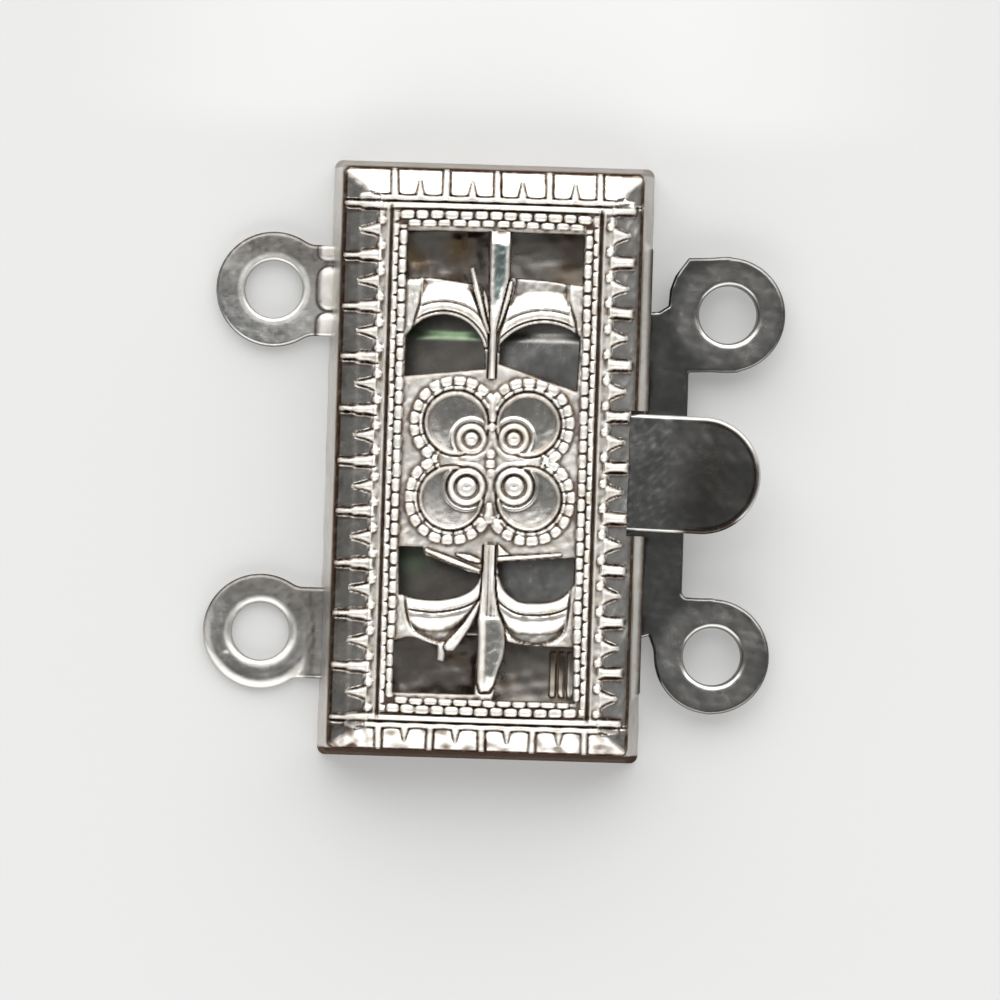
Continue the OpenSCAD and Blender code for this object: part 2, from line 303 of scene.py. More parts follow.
def from_dart(along):
    return along - (np.floor(along / RIB_PITCH) + 0.5) * RIB_PITCH


def gable(near, wide, high):
    """The round back of a rib or dart, wide to each side of its middle line."""
    return high * np.sqrt(clamp(1 - (near / wide) ** 2)) ** 1.3


def ribs(along, share, reach, width, fade, shaded, rise=0.0, thinning=0.0):
    """Ribs that rise and then end towards the shoulder, with the deeper groove on their shaded side."""
    near = from_rib(along)
    wide = width * (1 + 0.15 * ripple(along, share, 2.0, 11) + 0.25 * ridge(share, 0.12))
    wide *= 1 - thinning * smooth((share - 0.42) / 0.15)
    deeper = 0.06 * ridge(near * shaded - wide - 0.02, 0.028)
    grooves = deeper + 0.04 * ridge(near * shaded + wide + 0.02, 0.02)
    high = RIB_H + rise * np.maximum(share, 0)
    return (gable(near, wide, high) - grooves) * (1 - smooth((share - reach) / fade)) * (share > -0.08)


def dart_half(share, tip, base, spire):
    """Half the width of a dart, which narrows from its base at the ledge to a spire."""
    return spire + base * clamp((tip - share) / tip) ** 1.5


def side_dart_half(x, share):
    """Half the width of a dart on a side border. The right ones are broader."""
    left = x < 0
    return dart_half(share, SIDE_DART_TIP, np.where(left, 0.15, 0.2), np.where(left, 0.03, 0.05))


def darts(along, share, tip, wide):
    """Pointed wedges midway between two ribs."""
    near = from_dart(along)
    outline = 0.05 * ridge(np.abs(near) - wide - 0.015, 0.022)
    return (gable(near, wide, RIB_H) - outline) * smooth(clamp((tip - share) / tip) * 4) * (share > -0.02)


def ledge_relief(x, y, side, relief):
    """Relief of the borders with the knobs and swells of the ledge, and the grooves round the face."""
    u, v = np.abs(x), np.abs(y)
    # Small knobs on the side ledges, one beside each rib and dart
    half = RIB_PITCH / 2
    knob_y = y - 0.27 - np.round((y - 0.27) / half) * half
    knobs = dome(np.hypot((u - KNOB_X) / 0.12, knob_y / 0.11), 1, 0.12)
    relief = raised(relief, np.where(side & (v < 7.2), knobs, 0))
    # The ledge of the end borders swells between ribs
    swell = 0.02 * np.cos(TAU * x / half)
    from_ledge = v - END_LEDGE - swell
    relief = raised(relief, welt(from_ledge, 0.075, 0.05, 2.5) * (u < 3.9))
    relief -= 0.05 * ridge(from_ledge - 0.1, 0.025) * (u < 3.6) * (relief < 0.05)
    # A groove round the face, with a fine rail on each side of it
    from_groove = u - GROOVE[0] + 0.015
    rails = ridge(from_groove - 0.085, 0.035) + 0.7 * ridge(from_groove + 0.075, 0.03)
    relief += (0.05 * rails - 0.1 * ridge(from_groove, 0.03)) * (v < 7.3)
    return relief - 0.08 * ridge(v - GROOVE[1] + 0.01, 0.025)


def border_relief(x, y):
    """Ribs, darts, the scalloped ledge and the grooves of the sloping borders, above their base."""
    share_u, share_v = border_shares(x, y)
    left = x < 0
    along_side = wavy_y(x, y)
    along_end = x + 0.03 * ripple(x, y, 3.0, 13)
    side_reach, side_rise = np.where(left, 0.84, 0.62), np.where(left, 0.08, 0.16)
    side_marks = ribs(along_side, share_u, side_reach, 0.125, 0.16, -1, side_rise, 0.45 * left)
    side_marks += darts(along_side, share_u, SIDE_DART_TIP, side_dart_half(x, share_u))
    end_marks = ribs(along_end, share_v, 0.96, 0.085, 0.05, 1)
    end_dart_half = dart_half(share_v, END_DART_TIP, 0.11, 0.02)
    end_marks += 0.8 * darts(along_end, share_v, END_DART_TIP, end_dart_half) * (np.abs(x) < 3.2)
    # A point belongs to a side border or an end border, whichever slopes lower there
    side = share_u > share_v
    return ledge_relief(x, y, side, np.where(side, side_marks, end_marks))


def rails_and_beads(x, y):
    """The rail along each end, and the double row of beads round the windows."""
    u, v = np.abs(x), np.abs(y)
    bow = 0.035 * (x / 2.5) ** 2
    rail = welt(v - 7.29 + bow * 0.4, 0.095, 0.12, 2, 0.6) * (1 - smooth((u - 3.5) / 0.5))
    relief = rail - 0.06 * ridge(v - 7.185, 0.02) * (u < 2.95)
    seeds = iter(range(20, 40))
    for sign in (1, -1):
        across = sign * y - 6.8 + bow
        outer = pillows(x + 2.75, across - 0.245, 0.42, 0.41, 0.26, 0.13, next(seeds)) * (u < 2.78)
        inner = pillows(x + 2.53, across - 0.015, 0.42, 0.4, 0.2, 0.11, next(seeds)) * (u < 2.53)
        relief = raised(relief, np.maximum(outer, inner))
        across = sign * x - 2.64
        inner = pillows(y + 6.7, across, 0.415, 0.4, 0.24, 0.12, next(seeds)) * (v < 6.72)
        outer = pillows(y + 6.9, across - 0.2, 0.415, 0.39, 0.16, 0.09, next(seeds)) * (v < 7.1)
        relief = raised(relief, np.maximum(inner, outer))
    return relief


def dish_turn(x, y, middle):
    """Angle round a dish, counted from the side that faces away from the middle of the flower."""
    cx, cy = middle
    return (np.arctan2(y - cy, x - cx) - math.atan2(cy, cx) + math.pi) % TAU - math.pi


def dishes_relief(x, y):
    """The four dished petals, each with two rows of beads round its outer side."""
    relief = np.zeros(np.shape(x))
    bead_z = np.zeros(np.shape(x))
    for n, middle in enumerate(DISHES):
        r = circle(x, y, middle, 0)
        bowl = -0.02 - 0.055 * clamp(1 - (r / DISH_R) ** 2)
        relief = np.where(r < DISH_R, bowl, relief)
        relief += 0.07 * ridge(r - DISH_R - 0.01, 0.035)
        relief -= 0.07 * ridge(r - DISH_R - 0.09, 0.025) * (r > DISH_R)
        turn = dish_turn(x, y, middle)
        shown = np.abs(turn) < math.radians(112)
        for row, (radius, wide, high) in enumerate(BEAD_ROWS):
            row_z = pillows((turn + 7 * BEAD_STEP) * radius, r - radius, BEAD_STEP * radius,
                            0.99 * BEAD_STEP * radius, wide, high, 50 + 2 * n + row)
            bead_z = np.maximum(bead_z, row_z * shown)
    return relief + bead_z


def with_bosses(x, y, relief):
    """Relief with a ringed boss standing in each dish."""
    for middle, ring_r, ring_w, ring_h in BOSSES:
        r = circle(x, y, middle, 0)
        up = y - middle[1]
        # The groove round the disc opens downward, and the one round the ring is deepest on its upper side
        arc_shown = smooth(0.6 + up / 0.45)
        upper = 0.3 + 0.7 * smooth(0.5 + up / 0.4)
        near = 1 - smooth((r - ring_r - 0.05) / 0.1)
        relief *= 1 - near
        relief += 0.03 * ridge(r - ring_r - 0.2, 0.05)
        relief += welt(r - ring_r, ring_w, ring_h, 2, 0.7)
        relief -= 0.07 * arc_shown * ridge(r - ring_r + 0.13, 0.032)
        relief -= 0.04 * upper * ridge(r - ring_r - ring_w - 0.03, 0.025)
        relief += dome(r, ring_r - 0.16, 0.11)
        relief -= 0.04 * ridge(np.hypot(x - middle[0], 1.6 * up), 0.08)
    return relief


def flower_relief(x, y):
    """The flower with its middle line, and the ledges under it, above the lower windows."""
    relief = with_bosses(x, y, dishes_relief(x, y))
    for at, size in MIDDLE_BEADS:
        relief = raised(relief, dome(circle(x, y, at, 0), size, 0.13))
    upper_bar = stroke(x, y, [(0.04, 1.8), (0.05, 1.27)], [0.3, 0.2])
    lower_bar = stroke(x, y, [(0.03, -1.2), (0.03, -1.56)], [0.2, 0.32])
    relief = raised(relief, mound(np.minimum(upper_bar, lower_bar), 0.13, 0.14))
    ledges = np.min([stroke(x, y, [(-1.72, -2.5), (-1.0, -2.77), (-0.22, -3.03)], [0.1, 0.16, 0.1]),
                     stroke(x, y, [(-0.85, -2.59), (-0.5, -2.68), (-0.22, -2.77)], [0.06, 0.18, 0.12]),
                     stroke(x, y, [(0.36, -2.69), (1.2, -2.62), (2.1, -2.52)], [0.14, 0.12, 0.08]),
                     polygon(x, y, [(0.3, -2.25), (0.66, -2.58), (0.32, -2.6)])], axis=0)
    relief -= 0.05 * ridge(np.maximum(ledges, 0), 0.03) * (ledges > 0)
    return raised(relief, mound(ledges, 0.07, 0.1))


def arch_leaf(x, y, centre, radius, first, last):
    """An upper leaf over its arched window: a thin lip, a round rim, a valley, and a roll down outward."""
    rho = circle(x, y, centre, radius)
    angle = np.degrees(np.arctan2(y - centre[1], x - centre[0]))
    shown = smooth((angle - first) / 4) * smooth((last - angle) / 4)
    lip_and_rim = welt(rho - 0.055, 0.055, 0.04) + welt(rho - 0.25, 0.12, 0.07, 2.4)
    out = np.maximum(rho - 0.44, 0)
    body = 0.02 * smooth((rho - 0.36) / 0.08) - 0.22 * out - 0.5 * out ** 2
    groove = 0.06 * ridge(rho - 0.12, 0.018) * shown
    return lip_and_rim * shown + body - groove - 0.02 * ridge(rho - 0.38, 0.02)


def bowl_leaf(x, y, window):
    """A lower leaf over its window: a broad bright rim, a crease, a valley, and a roll down."""
    away = np.maximum(polygon(x, y, WINDOWS[window]), 0)
    rim = -0.17 + 0.21 * np.sqrt(1 - (1 - clamp(away / 0.33)) ** 2)
    out = np.maximum(away - 0.52, 0)
    body = -0.35 * out - 0.5 * out ** 2
    return np.where(away < 0.34, rim, body) - 0.06 * ridge(away - 0.35, 0.03)


LEFT_BLADE = [(-2.02, 5.4), (-0.66, 5.4), (-0.55, 5.0), (-0.42, 4.6), (-0.3, 4.25), (-0.15, 3.9),
              (-0.13, 3.3), (-2.3, 3.3), (-2.24, 4.0), (-2.1, 4.5)]
RIGHT_BLADE = [(0.62, 5.45), (2.08, 5.4), (2.1, 4.7), (2.3, 4.1), (2.42, 3.3), (0.15, 3.2), (0.17, 3.7),
               (0.27, 4.0), (0.42, 4.5), (0.52, 4.9)]
LEFT_BOWL = curve([(-2.26, -3.7), (-2.22, -4.2), (-2.03, -4.75), (-1.6, -5.02), (-1.2, -5.1), (-0.85, -4.88),
                   (-0.5, -4.4), (-0.16, -3.85), (-0.1, -3.1)]) + [(-1.2, -3.0)]
RIGHT_BOWL = curve([(2.4, -3.3), (2.33, -4.3), (2.2, -4.8), (1.75, -5.08), (1.3, -5.1), (0.85, -4.98),
                    (0.55, -4.6), (0.34, -4.15), (0.28, -3.1)]) + [(1.2, -2.9)]

# The thin slivers beside the petals: points of their middle lines, widths there, and height
SLIVERS = [([(-0.66, 5.55), (-0.5, 4.9), (-0.3, 4.2), (-0.12, 3.7)], [0.13, 0.16, 0.12, 0.06], 0.12),
           ([(-0.3, 5.15), (-0.22, 4.6), (-0.11, 4.0)], [0.1, 0.13, 0.06], 0.08),
           ([(0.45, 5.15), (0.36, 4.7), (0.2, 4.15), (0.08, 3.75)], [0.12, 0.14, 0.12, 0.06], 0.1),
           ([(-0.1, -3.85), (-0.5, -4.6), (-0.95, -5.22)], [0.1, 0.22, 0.34], 0.15)]


def lily_relief(x, y):
    """The two lilies, above and below the flower: leaves, slivers beside the petal, petal and stem."""
    relief = np.zeros(np.shape(x))
    blades = [(LEFT_BLADE, arch_leaf(x, y, *ARCHES[0], 12, 132)),
              (RIGHT_BLADE, arch_leaf(x, y, *ARCHES[1], 55, 150)),
              (LEFT_BOWL, bowl_leaf(x, y, "bowl_left")),
              (RIGHT_BOWL, bowl_leaf(x, y, "bowl_right"))]
    for outline, shape in blades:
        region = polygon(x, y, outline)
        inside = within(region)
        relief = relief * (1 - inside) + shape * inside
        relief -= 0.08 * ridge(region - 0.02, 0.03)
    # Upright folds at the outer ends of the leaves, and their tops that tip toward the upper windows
    for at in (-2.4, -2.25, -2.12, 2.2, 2.33, 2.45):
        fold = stroke(x, y, [(at, 5.15), (at, 3.95)], [0.05, 0.05])
        relief += 0.04 * ridge(fold, 0.045)
    relief -= 0.1 * smooth((y - 5.02) / 0.25) * (np.abs(x) > 2.08) * (y < 5.4)
    for points, widths, high in SLIVERS:
        shape = stroke(x, y, points, widths)
        relief -= 0.08 * ridge(np.maximum(shape, 0), 0.04) * (shape > 0)
        relief = raised(relief, mound(shape, 0.07, high))
    return petals_and_stems(x, y, relief)


UPPER_PETAL = [(-0.16, 6.75), (-0.15, 5.3), (-0.12, 4.4), (-0.09, 3.8), (-0.1, 2.35), (0.09, 2.35),
               (0.07, 3.8), (0.2, 4.4), (0.4, 5.3), (0.44, 6.75)]
LOWER_PETAL = [(-0.09, -2.2), (0.23, -2.2), (0.235, -3.05), (0.27, -3.6), (0.35, -4.1), (0.55, -4.6),
               (0.62, -5.1), (0.58, -5.5), (0.42, -5.9), (0.33, -6.3), (0.2, -6.5), (-0.08, -6.5),
               (-0.17, -6.2), (-0.16, -5.0), (-0.2, -4.4), (-0.13, -3.8), (-0.09, -3.05)]


def petals_and_stems(x, y, relief):
    """Relief with the middle petal and the stem of each lily standing on it."""
    region = polygon(x, y, UPPER_PETAL)
    middle = 0.02 + 0.12 * smooth((y - 4.2) / 1.2)
    half = 0.06 + 0.24 * smooth((y - 3.9) / 1.6)
    trough = 0.06 * smooth((y - 4.1) / 0.6) * clamp(1 - ((x - middle) / half) ** 2)
    shape = mound(region, 0.09, 0.17) - trough - 0.17 * smooth((y - 6.22) / 0.5)
    relief = np.where(region < 0, shape, relief - 0.09 * ridge(region, 0.04))
    region = polygon(x, y, LOWER_PETAL)
    spine = -0.04 + 0.02 * np.cos(2 * y)
    tilt = np.where(x > spine, 0.3 * (x - spine), 0.25 * (spine - x))
    grooves = 0.02 * np.cos(TAU * x / 0.11) * smooth((y + 4.5) / 0.4)
    shape = mound(region, 0.07, 0.16) + 0.06 * smooth((-4.3 - y) / 0.12) + grooves
    shape = shape - tilt * smooth((-4.0 - y) / 0.5) - 0.5 * np.maximum(-5.85 - y, 0) ** 2
    return np.where(region < 0, np.maximum(shape, -0.2), relief - 0.09 * ridge(region, 0.04))


# Half sizes of the pierced field and of the flower in it, and where the lilies begin above and below
LACE = (2.5, 6.6)
FLOWER_HALF = 3.1
UPPER_LILY = 2.42
LOWER_LILY = -2.3


def face_height(x, y):
    """Height of the stamped face, from the middle of the stamping, with its windows' rolled edges."""
    relief = rails_and_beads(x, y)
    u, v = np.abs(x), np.abs(y)
    in_flower = (v < FLOWER_HALF) & (u < LACE[0])
    relief = np.where(in_flower, np.where(relief > 0.03, relief, flower_relief(x, y)), relief)
    in_lily = ((y > UPPER_LILY) | (y < LOWER_LILY)) & (u < LACE[0] + 0.06) & (v < LACE[1])
    stem = np.minimum(polygon(x, y, UPPER_PETAL), polygon(x, y, LOWER_PETAL))
    take = np.where(v < FLOWER_HALF, (stem < 0.06) & (v > -LOWER_LILY), relief <= 0.03)
    relief = np.where(in_lily & take, lily_relief(x, y), relief)
    dip = WINDOW_EDGE - np.clip(window_distance(x, y), 0, WINDOW_EDGE)
    rolled = WINDOW_EDGE - np.sqrt(WINDOW_EDGE ** 2 - dip ** 2)
    in_dish = np.min([circle(x, y, middle, DISH_R) for middle in DISHES], axis=0) < 0
    uneven = 0.012 * ripple(x, y, 1.1, 3) + 0.005 * ripple(x, y, 0.4, 4) + 0.0025 * ripple(x, y, 0.2, 5)
    uneven *= np.where(in_dish, 0.35, 1)
    border = np.where((u > 2.85) | (v > 7.3), border_relief(x, y), 0)
    return border_base(x, y) + border + np.maximum(relief, -0.2) - rolled + uneven


def blurred(values, cells):
    """A grid of heights with three box blurs, each reaching this many cells to both sides."""
    window = 2 * cells + 1
    for _ in ("x", "y"):
        for _ in range(3):
            padded = np.pad(values, [(cells + 1, cells), (0, 0)], mode="edge")
            total = np.cumsum(padded, axis=0)
            values = (total[window:] - total[:-window]) / window
        values = values.T
    return values


# How many cells round a point count as its near and its far surroundings
NEAR_CELLS = 2
FAR_CELLS = 8


class Stamping:
    """The stamped face on a fine grid: its heights, and how deep each point lies below its surroundings."""

    def __init__(self, step=0.03):
        reach = SHOULDER + np.abs(STAMP) + 0.1
        counts = np.ceil(2 * reach / step).astype(int)
        self.x = np.linspace(-reach[0], reach[0], counts[0])
        self.y = np.linspace(-reach[1], reach[1], counts[1])
        grid = np.meshgrid(self.x, self.y, indexing="ij")
        self.z = face_height(*grid)
        self.recess = blurred(self.z, NEAR_CELLS) - self.z
        self.wide_recess = blurred(self.z, FAR_CELLS) - self.z

    def look_up(self, values, x, y):
        """Values of the grid at any points, from the four grid points round each."""
        i = np.clip(np.interp(x, self.x, np.arange(len(self.x))), 0, len(self.x) - 1.001)
        j = np.clip(np.interp(y, self.y, np.arange(len(self.y))), 0, len(self.y) - 1.001)
        i0, j0 = i.astype(int), j.astype(int)
        fi, fj = i - i0, j - j0
        return (values[i0, j0] * (1 - fi) * (1 - fj) + values[i0 + 1, j0] * fi * (1 - fj)
                + values[i0, j0 + 1] * (1 - fi) * fj + values[i0 + 1, j0 + 1] * fi * fj)


def new_object(name, points, faces, offset=(0.0, 0.0)):
    """A mesh object from millimetre points of the box, placed in the frame."""
    points = np.asarray(points, float).reshape(-1, 3)
    moved = points + [BOX_X + offset[0], offset[1], 0]
    mesh = bpy.data.meshes.new(name)
    mesh.from_pydata((moved * MM).tolist(), [], faces)
    mesh.validate()
    piece = bpy.data.objects.new(name, mesh)
    bpy.context.scene.collection.objects.link(piece)
    return piece


def prism_parts(outline, low, high, first=0):
    """Points and faces of an upright prism over a closed outline that runs either way round."""
    turning = sum(a[0] * b[1] - b[0] * a[1] for a, b in zip(outline, outline[1:] + outline[:1]))
    if turning < 0:
        outline = outline[::-1]
    n = len(outline)
    points = [(p[0], p[1], low) for p in outline] + [(p[0], p[1], high) for p in outline]
    faces = [[first + i for i in range(n - 1, -1, -1)], [first + n + i for i in range(n)]]
    faces += [[first + i, first + (i + 1) % n, first + n + (i + 1) % n, first + n + i] for i in range(n)]
    return points, faces


def prisms(name, outlines, offset=(0.0, 0.0)):
    """Several upright prisms as one object. Each outline comes with its lowest and highest height."""
    points, faces = [], []
    for outline, low, high in outlines:
        more_points, more_faces = prism_parts(outline, low, high, len(points))
        points += more_points
        faces += more_faces
    return new_object(name, points, faces, offset)


def rectangle(x0, x1, y0, y1):
    return [(x0, y0), (x1, y0), (x1, y1), (x0, y1)]


def cut(piece, tool):
    """Cuts the tool out of a closed piece and throws the tool away."""
    modifier = piece.modifiers.new("cut", "BOOLEAN")
    modifier.operation = "DIFFERENCE"
    modifier.solver = "MANIFOLD"
    modifier.object = tool
    bpy.context.view_layer.update()
    made = bpy.data.meshes.new_from_object(piece.evaluated_get(bpy.context.evaluated_depsgraph_get()))
    piece.modifiers.clear()
    old = piece.data
    piece.data = made
    made.name = piece.name
    bpy.data.meshes.remove(old)
    bpy.data.objects.remove(tool)


def rounded(piece, angle=38):
    """Smooth shading, with real corners kept sharp."""
    mesh = piece.data
    mesh.polygons.foreach_set("use_smooth", np.ones(len(mesh.polygons), bool))
    mesh.set_sharp_from_angle(angle=math.radians(angle))
    mesh.update()


def vertex_points(piece):
    """The piece's points in millimetres of the box."""
    flat = np.zeros(len(piece.data.vertices) * 3)
    piece.data.vertices.foreach_get("co", flat)
    return flat.reshape(-1, 3) / MM - [BOX_X, 0, 0]


# Numbers at the points of each mesh, for its material: how dark (tarnished metal and painted shade), how
# pale (worn metal and painted highlights), how smooth and how tinted the metal is
MARKS = ("recess", "wear_and_highlight", "polish", "teal")


def mark(piece, name, values):
    """A number at each point of the mesh, for its material."""
    attribute = piece.data.attributes.new(name, "FLOAT", "POINT")
    attribute.data.foreach_set("value", np.asarray(values, np.float32))


def polished_fields(x, y, share, high):
    """Where the stamping is smooth and mirrors its surroundings: 1 there, and 0 where it is frosted."""
    def inside(*outlines):
        return within(np.min([polygon(x, y, outline) for outline in outlines], axis=0))

    dish = np.max([smooth((DISH_R - 0.04 - circle(x, y, middle, 0)) / 0.05) for middle in DISHES], axis=0)
    boss = np.max([smooth((0.56 - circle(x, y, middle, 0)) / 0.06) for middle, _, _, _ in BOSSES], axis=0)
    panel = smooth((share - 0.06) / 0.04) * smooth((0.022 - high) / 0.012)
    arches = np.minimum(*[circle(x, y, *arch) for arch in ARCHES])
    upper = inside(LEFT_BLADE, RIGHT_BLADE) * smooth((arches - 0.38) / 0.06)
    bowls = np.minimum(*[polygon(x, y, WINDOWS[name]) for name in ("bowl_left", "bowl_right")])
    lower = inside(LEFT_BOWL, RIGHT_BOWL) * smooth((bowls - 0.34) / 0.05)
    upper_petal = inside(UPPER_PETAL) * smooth((y - 4.3) / 0.4)
    lower_petal = inside(LOWER_PETAL) * smooth((-4.3 - y) / 0.3) * smooth((x - 0.02) / 0.06)
    return np.max([dish * (1 - boss) * 0.8, panel, upper * 0.5, lower * 0.45, upper_petal * 0.8,
                   lower_petal * 0.8], axis=0)


def rib_shade(x, y):
    """Painted shade: brown bands on the side borders, under each rib and dart."""
    share_u, share_v = border_shares(x, y)
    along = wavy_y(x, y)
    dart_edge = from_dart(along) + side_dart_half(x, share_u)
    under_rib = 0.85 * ridge(from_rib(along) + 0.21, 0.08) * (share_u < np.where(x < 0, 0.98, 0.72))
    under_dart = 0.7 * ridge(dart_edge + 0.055, 0.05) * smooth((0.6 - share_u) / 0.1)
    return np.maximum(under_rib, under_dart) * (share_u > share_v) * (share_u > 0.06)


def dish_arcs(x, y):
    """The dark line in the groove between each dish and its beads."""
    arcs = np.zeros(np.shape(x))
    for middle in DISHES:
        shown = smooth((math.radians(118) - np.abs(dish_turn(x, y, middle))) / 0.3)
        arcs = np.maximum(arcs, ridge(circle(x, y, middle, DISH_R + 0.085), 0.045) * shown)
    return 0.95 * arcs


def face_tarnish_and_shade(x, y, deep, wide):
    """How dark the stamped face is painted, from its place and how deep it lies below its surroundings:
    tarnished recesses and patches, painted shade at the window edges, along the shoulder edge, on the left
    border and under the ribs, and darker creases and lower corners.
    """
    share_u, share_v = border_shares(x, y)
    share = np.maximum(share_u, share_v)
    on_lace = (np.abs(x) < LACE[0]) & (np.abs(y) < LACE[1])
    recess = clamp(deep / 0.018 - 0.08) * np.where(on_lace, 0.74, 0.86) + clamp(wide / 0.1) * 0.12
    # Window edges: tarnished, and painted shade where the sheet's cut edge meets the window
    edge = 0.9 * (1 - smooth((window_distance(x, y) - 0.02) / 0.08))
    crease = 0.7 * ridge(share_u - share_v - 0.1, 0.14) * smooth((share - 0.15) / 0.3)
    # Painted shade along the shoulder edge, broader on the right border and on the outer left border
    rim = 0.95 * smooth((share - 0.87) / 0.05) + 0.6 * smooth((share - 0.72) / 0.15) * (x > 3.5)
    rim += (0.45 + 0.2 * ripple(x, y, 0.8, 77)) * smooth((share_u - 0.66) / 0.16) * (x < -3.5)
    # Painted shade on the left border, mottled patches on the lower end border, darker corners of that
    # border, and patches in the middle of the flower
    on_lower_end = y < -LEDGE[1]
    shade = 0.3 * smooth((share_u - 0.1) / 0.2) * (x < 0) + 0.8 * clamp(ripple(x, y, 0.6, 71)) * on_lower_end
    corner = (0.35 + 0.3 * ripple(x, y, 0.5, 79)) * smooth((np.abs(x) - 3.0) / 0.3) * on_lower_end
    off_middle = smooth((np.abs(x - 0.04) - 0.35) / 0.3)
    middle = 0.55 * clamp(ripple(x, y, 0.35, 72)) * (1 - off_middle) * (np.abs(y) < 1.9)
    # Dark lines round the dishes, and painted shade under the ribs and darts
    lines = np.maximum(dish_arcs(x, y), rib_shade(x, y))
    return np.max([recess, edge, crease, rim, shade, corner, middle, lines], axis=0)


def wall_tarnish_and_shade(points, x, y):
    """How dark the walls are painted: a little tarnished all over, a little more on the upper and right
    walls, and painted shade most under the shoulder, on the lower wall and on the lip of the slot.
    """
    z = points[:, 2]
    right_wall = x > SHOULDER[0] - 0.15
    lower_wall = y < -8.2
    dark_from = np.where(right_wall, 2.08, np.where(lower_wall, 1.0, 1.8))
    # Painted shade under the shoulder and on the lower wall, over a little tarnish
    tarnish_and_shade = 0.85 * smooth((z - dark_from) / 0.5) + 0.1 + 0.75 * lower_wall + 0.3 * (y > 8.33)
    # Painted shadow of the slot's gap, on the lip of the wall over the slot
    over_slot = (points[:, 1] > SLOT_Y[0] - 0.1) & (points[:, 1] < SLOT_Y[1] + 0.1)
    lip = over_slot & (points[:, 0] > FOOT[0] - 0.08) & (z < 1.95)
    return np.maximum(tarnish_and_shade + 0.14 * right_wall, 0.95 * lip)


def mark_stamping(piece, stamping):
    """Marks for the material: tarnished recesses and painted shade, worn tops that also serve as painted
    highlights, smooth polished fields and the tinted petal.
    """
    points = vertex_points(piece)
    x, y, z = points[:, 0] - STAMP[0], points[:, 1] - STAMP[1], points[:, 2]
    deep = stamping.look_up(stamping.recess, x, y)
    wide = stamping.look_up(stamping.wide_recess, x, y)
    share_u, share_v = border_shares(x, y)
    share = np.maximum(share_u, share_v)
    top = (z > SHOULDER_Z + 0.02) & (share < 1.0)
    mark(piece, "recess", clamp(np.where(top, face_tarnish_and_shade(x, y, deep, wide), wall_tarnish_and_shade(points, x, y))))
    # Paler: worn tops, which also serve as painted highlights, a streak along the left border, and the left
    # side of the lower petal
    streak = 0.3 * ridge(share_u - 0.47, 0.07) * (x < -3.5) * (np.abs(y) < 7.4)
    flank = within(polygon(x, y, LOWER_PETAL)) * smooth((0.04 - x) / 0.06)
    mark(piece, "wear_and_highlight", np.where(top, np.max([clamp(-deep / 0.04), streak, flank], axis=0), 0.1))
    mark(piece, "polish", np.where(top, polished_fields(x, y, share, -deep), 0.5))
    petal = stroke(x, y, [(0.16, 6.1), (0.14, 5.3), (0.04, 4.5)], [0.4, 0.34, 0.12])
    mark(piece, "teal", within(petal, 0.1))


def make_face(stamping):
    """The pierced face inside the groove: a closed slab with the windows cut through it."""
    step = 0.0298
    xs = np.linspace(-GROOVE[0], GROOVE[0], int(2 * GROOVE[0] / step))
    ys = np.linspace(-GROOVE[1], GROOVE[1], int(2 * GROOVE[1] / step))
    grid = np.meshgrid(xs, ys, indexing="ij")
    z = face_height(*grid)
    nx, ny = len(xs), len(ys)
    points = np.stack([*grid, z], -1).reshape(-1, 3)
    i, j = np.meshgrid(np.arange(nx - 1), np.arange(ny - 1), indexing="ij")
    a = (i * ny + j).ravel()
    faces = np.stack([a, a + ny, a + ny + 1, a + 1], -1).tolist()
    loop = [k * ny for k in range(nx)] + [(nx - 1) * ny + k for k in range(1, ny)]
    loop += [k * ny + ny - 1 for k in range(nx - 2, -1, -1)] + list(range(ny - 2, 0, -1))
    under = points[loop].copy()
    under[:, 2] = CROWN_Z - SHEET
    first, count = len(points), len(loop)
    for k in range(count):
        after = (k + 1) % count
        faces.append([loop[after], loop[k], first + k, first + after])
    faces.append([first + k for k in range(count - 1, -1, -1)])
    face = new_object("cover_face", np.vstack([points, under]), faces, STAMP)
    below, above = 2.0, 3.6
    cut(face, prisms("windows", [(outline, below, above) for outline in WINDOWS.values()], STAMP))
    rounded(face)
    mark_stamping(face, stamping)
    return face


def ring_rectangle(share, steps):
    """Points round the box between the groove (0), the shoulder edge (1) and the foot (2)."""
    if share <= 1:
        half = GROOVE + (SHOULDER - GROOVE) * share
        middle = STAMP * (1 - share)
    else:
        half = SHOULDER + (FOOT - SHOULDER) * (share - 1)
        middle = np.zeros(2)
    radius = 0.03 + 0.2 * smooth((share - 0.75) / 0.3)
    nx, ny = steps
    across, along = np.linspace(-1, 1, nx + 1)[:-1], np.linspace(-1, 1, ny + 1)[:-1]
    sides = [np.stack([across * half[0], np.full(nx, -half[1])], -1),
             np.stack([np.full(ny, half[0]), along * half[1]], -1),
             np.stack([-across * half[0], np.full(nx, half[1])], -1),
             np.stack([np.full(ny, -half[0]), -along * half[1]], -1)]
    points = np.vstack(sides)
    # Round the corners
    inner = half - radius
    beyond = np.abs(points) - inner
    corner = (beyond > 0).all(1)
    pull = beyond[corner] / np.hypot(*beyond[corner].T)[:, None] * radius
    points[corner] = np.sign(points[corner]) * (inner + pull)
    return points + middle


def lintel(row):
    """Flares the wall over the tongue's slot out to the foot, so that it hides the slot from above."""
    x, y, z = row.T
    over_slot = smooth((y - SLOT_Y[0] + 0.5) / 0.5) * smooth((SLOT_Y[1] + 0.5 - y) / 0.5)
    out = SHOULDER[0] + (FOOT[0] - SHOULDER[0]) * smooth((SHOULDER_Z + 0.02 - z) / 0.42) * over_slot
    return np.column_stack([np.where(x > SHOULDER[0] - 0.02, np.maximum(x, out), x), y, z])


# The panel of the border ends, the shoulder bends down, and the wall runs from its start to its end
PANEL_END = 0.955
WALL_START = 1.09
WALL_START_Z = 2.02
WALL_END = 1.98
WALL_END_Z = 0.08
SHOULDER_BEND_Z = 2.235


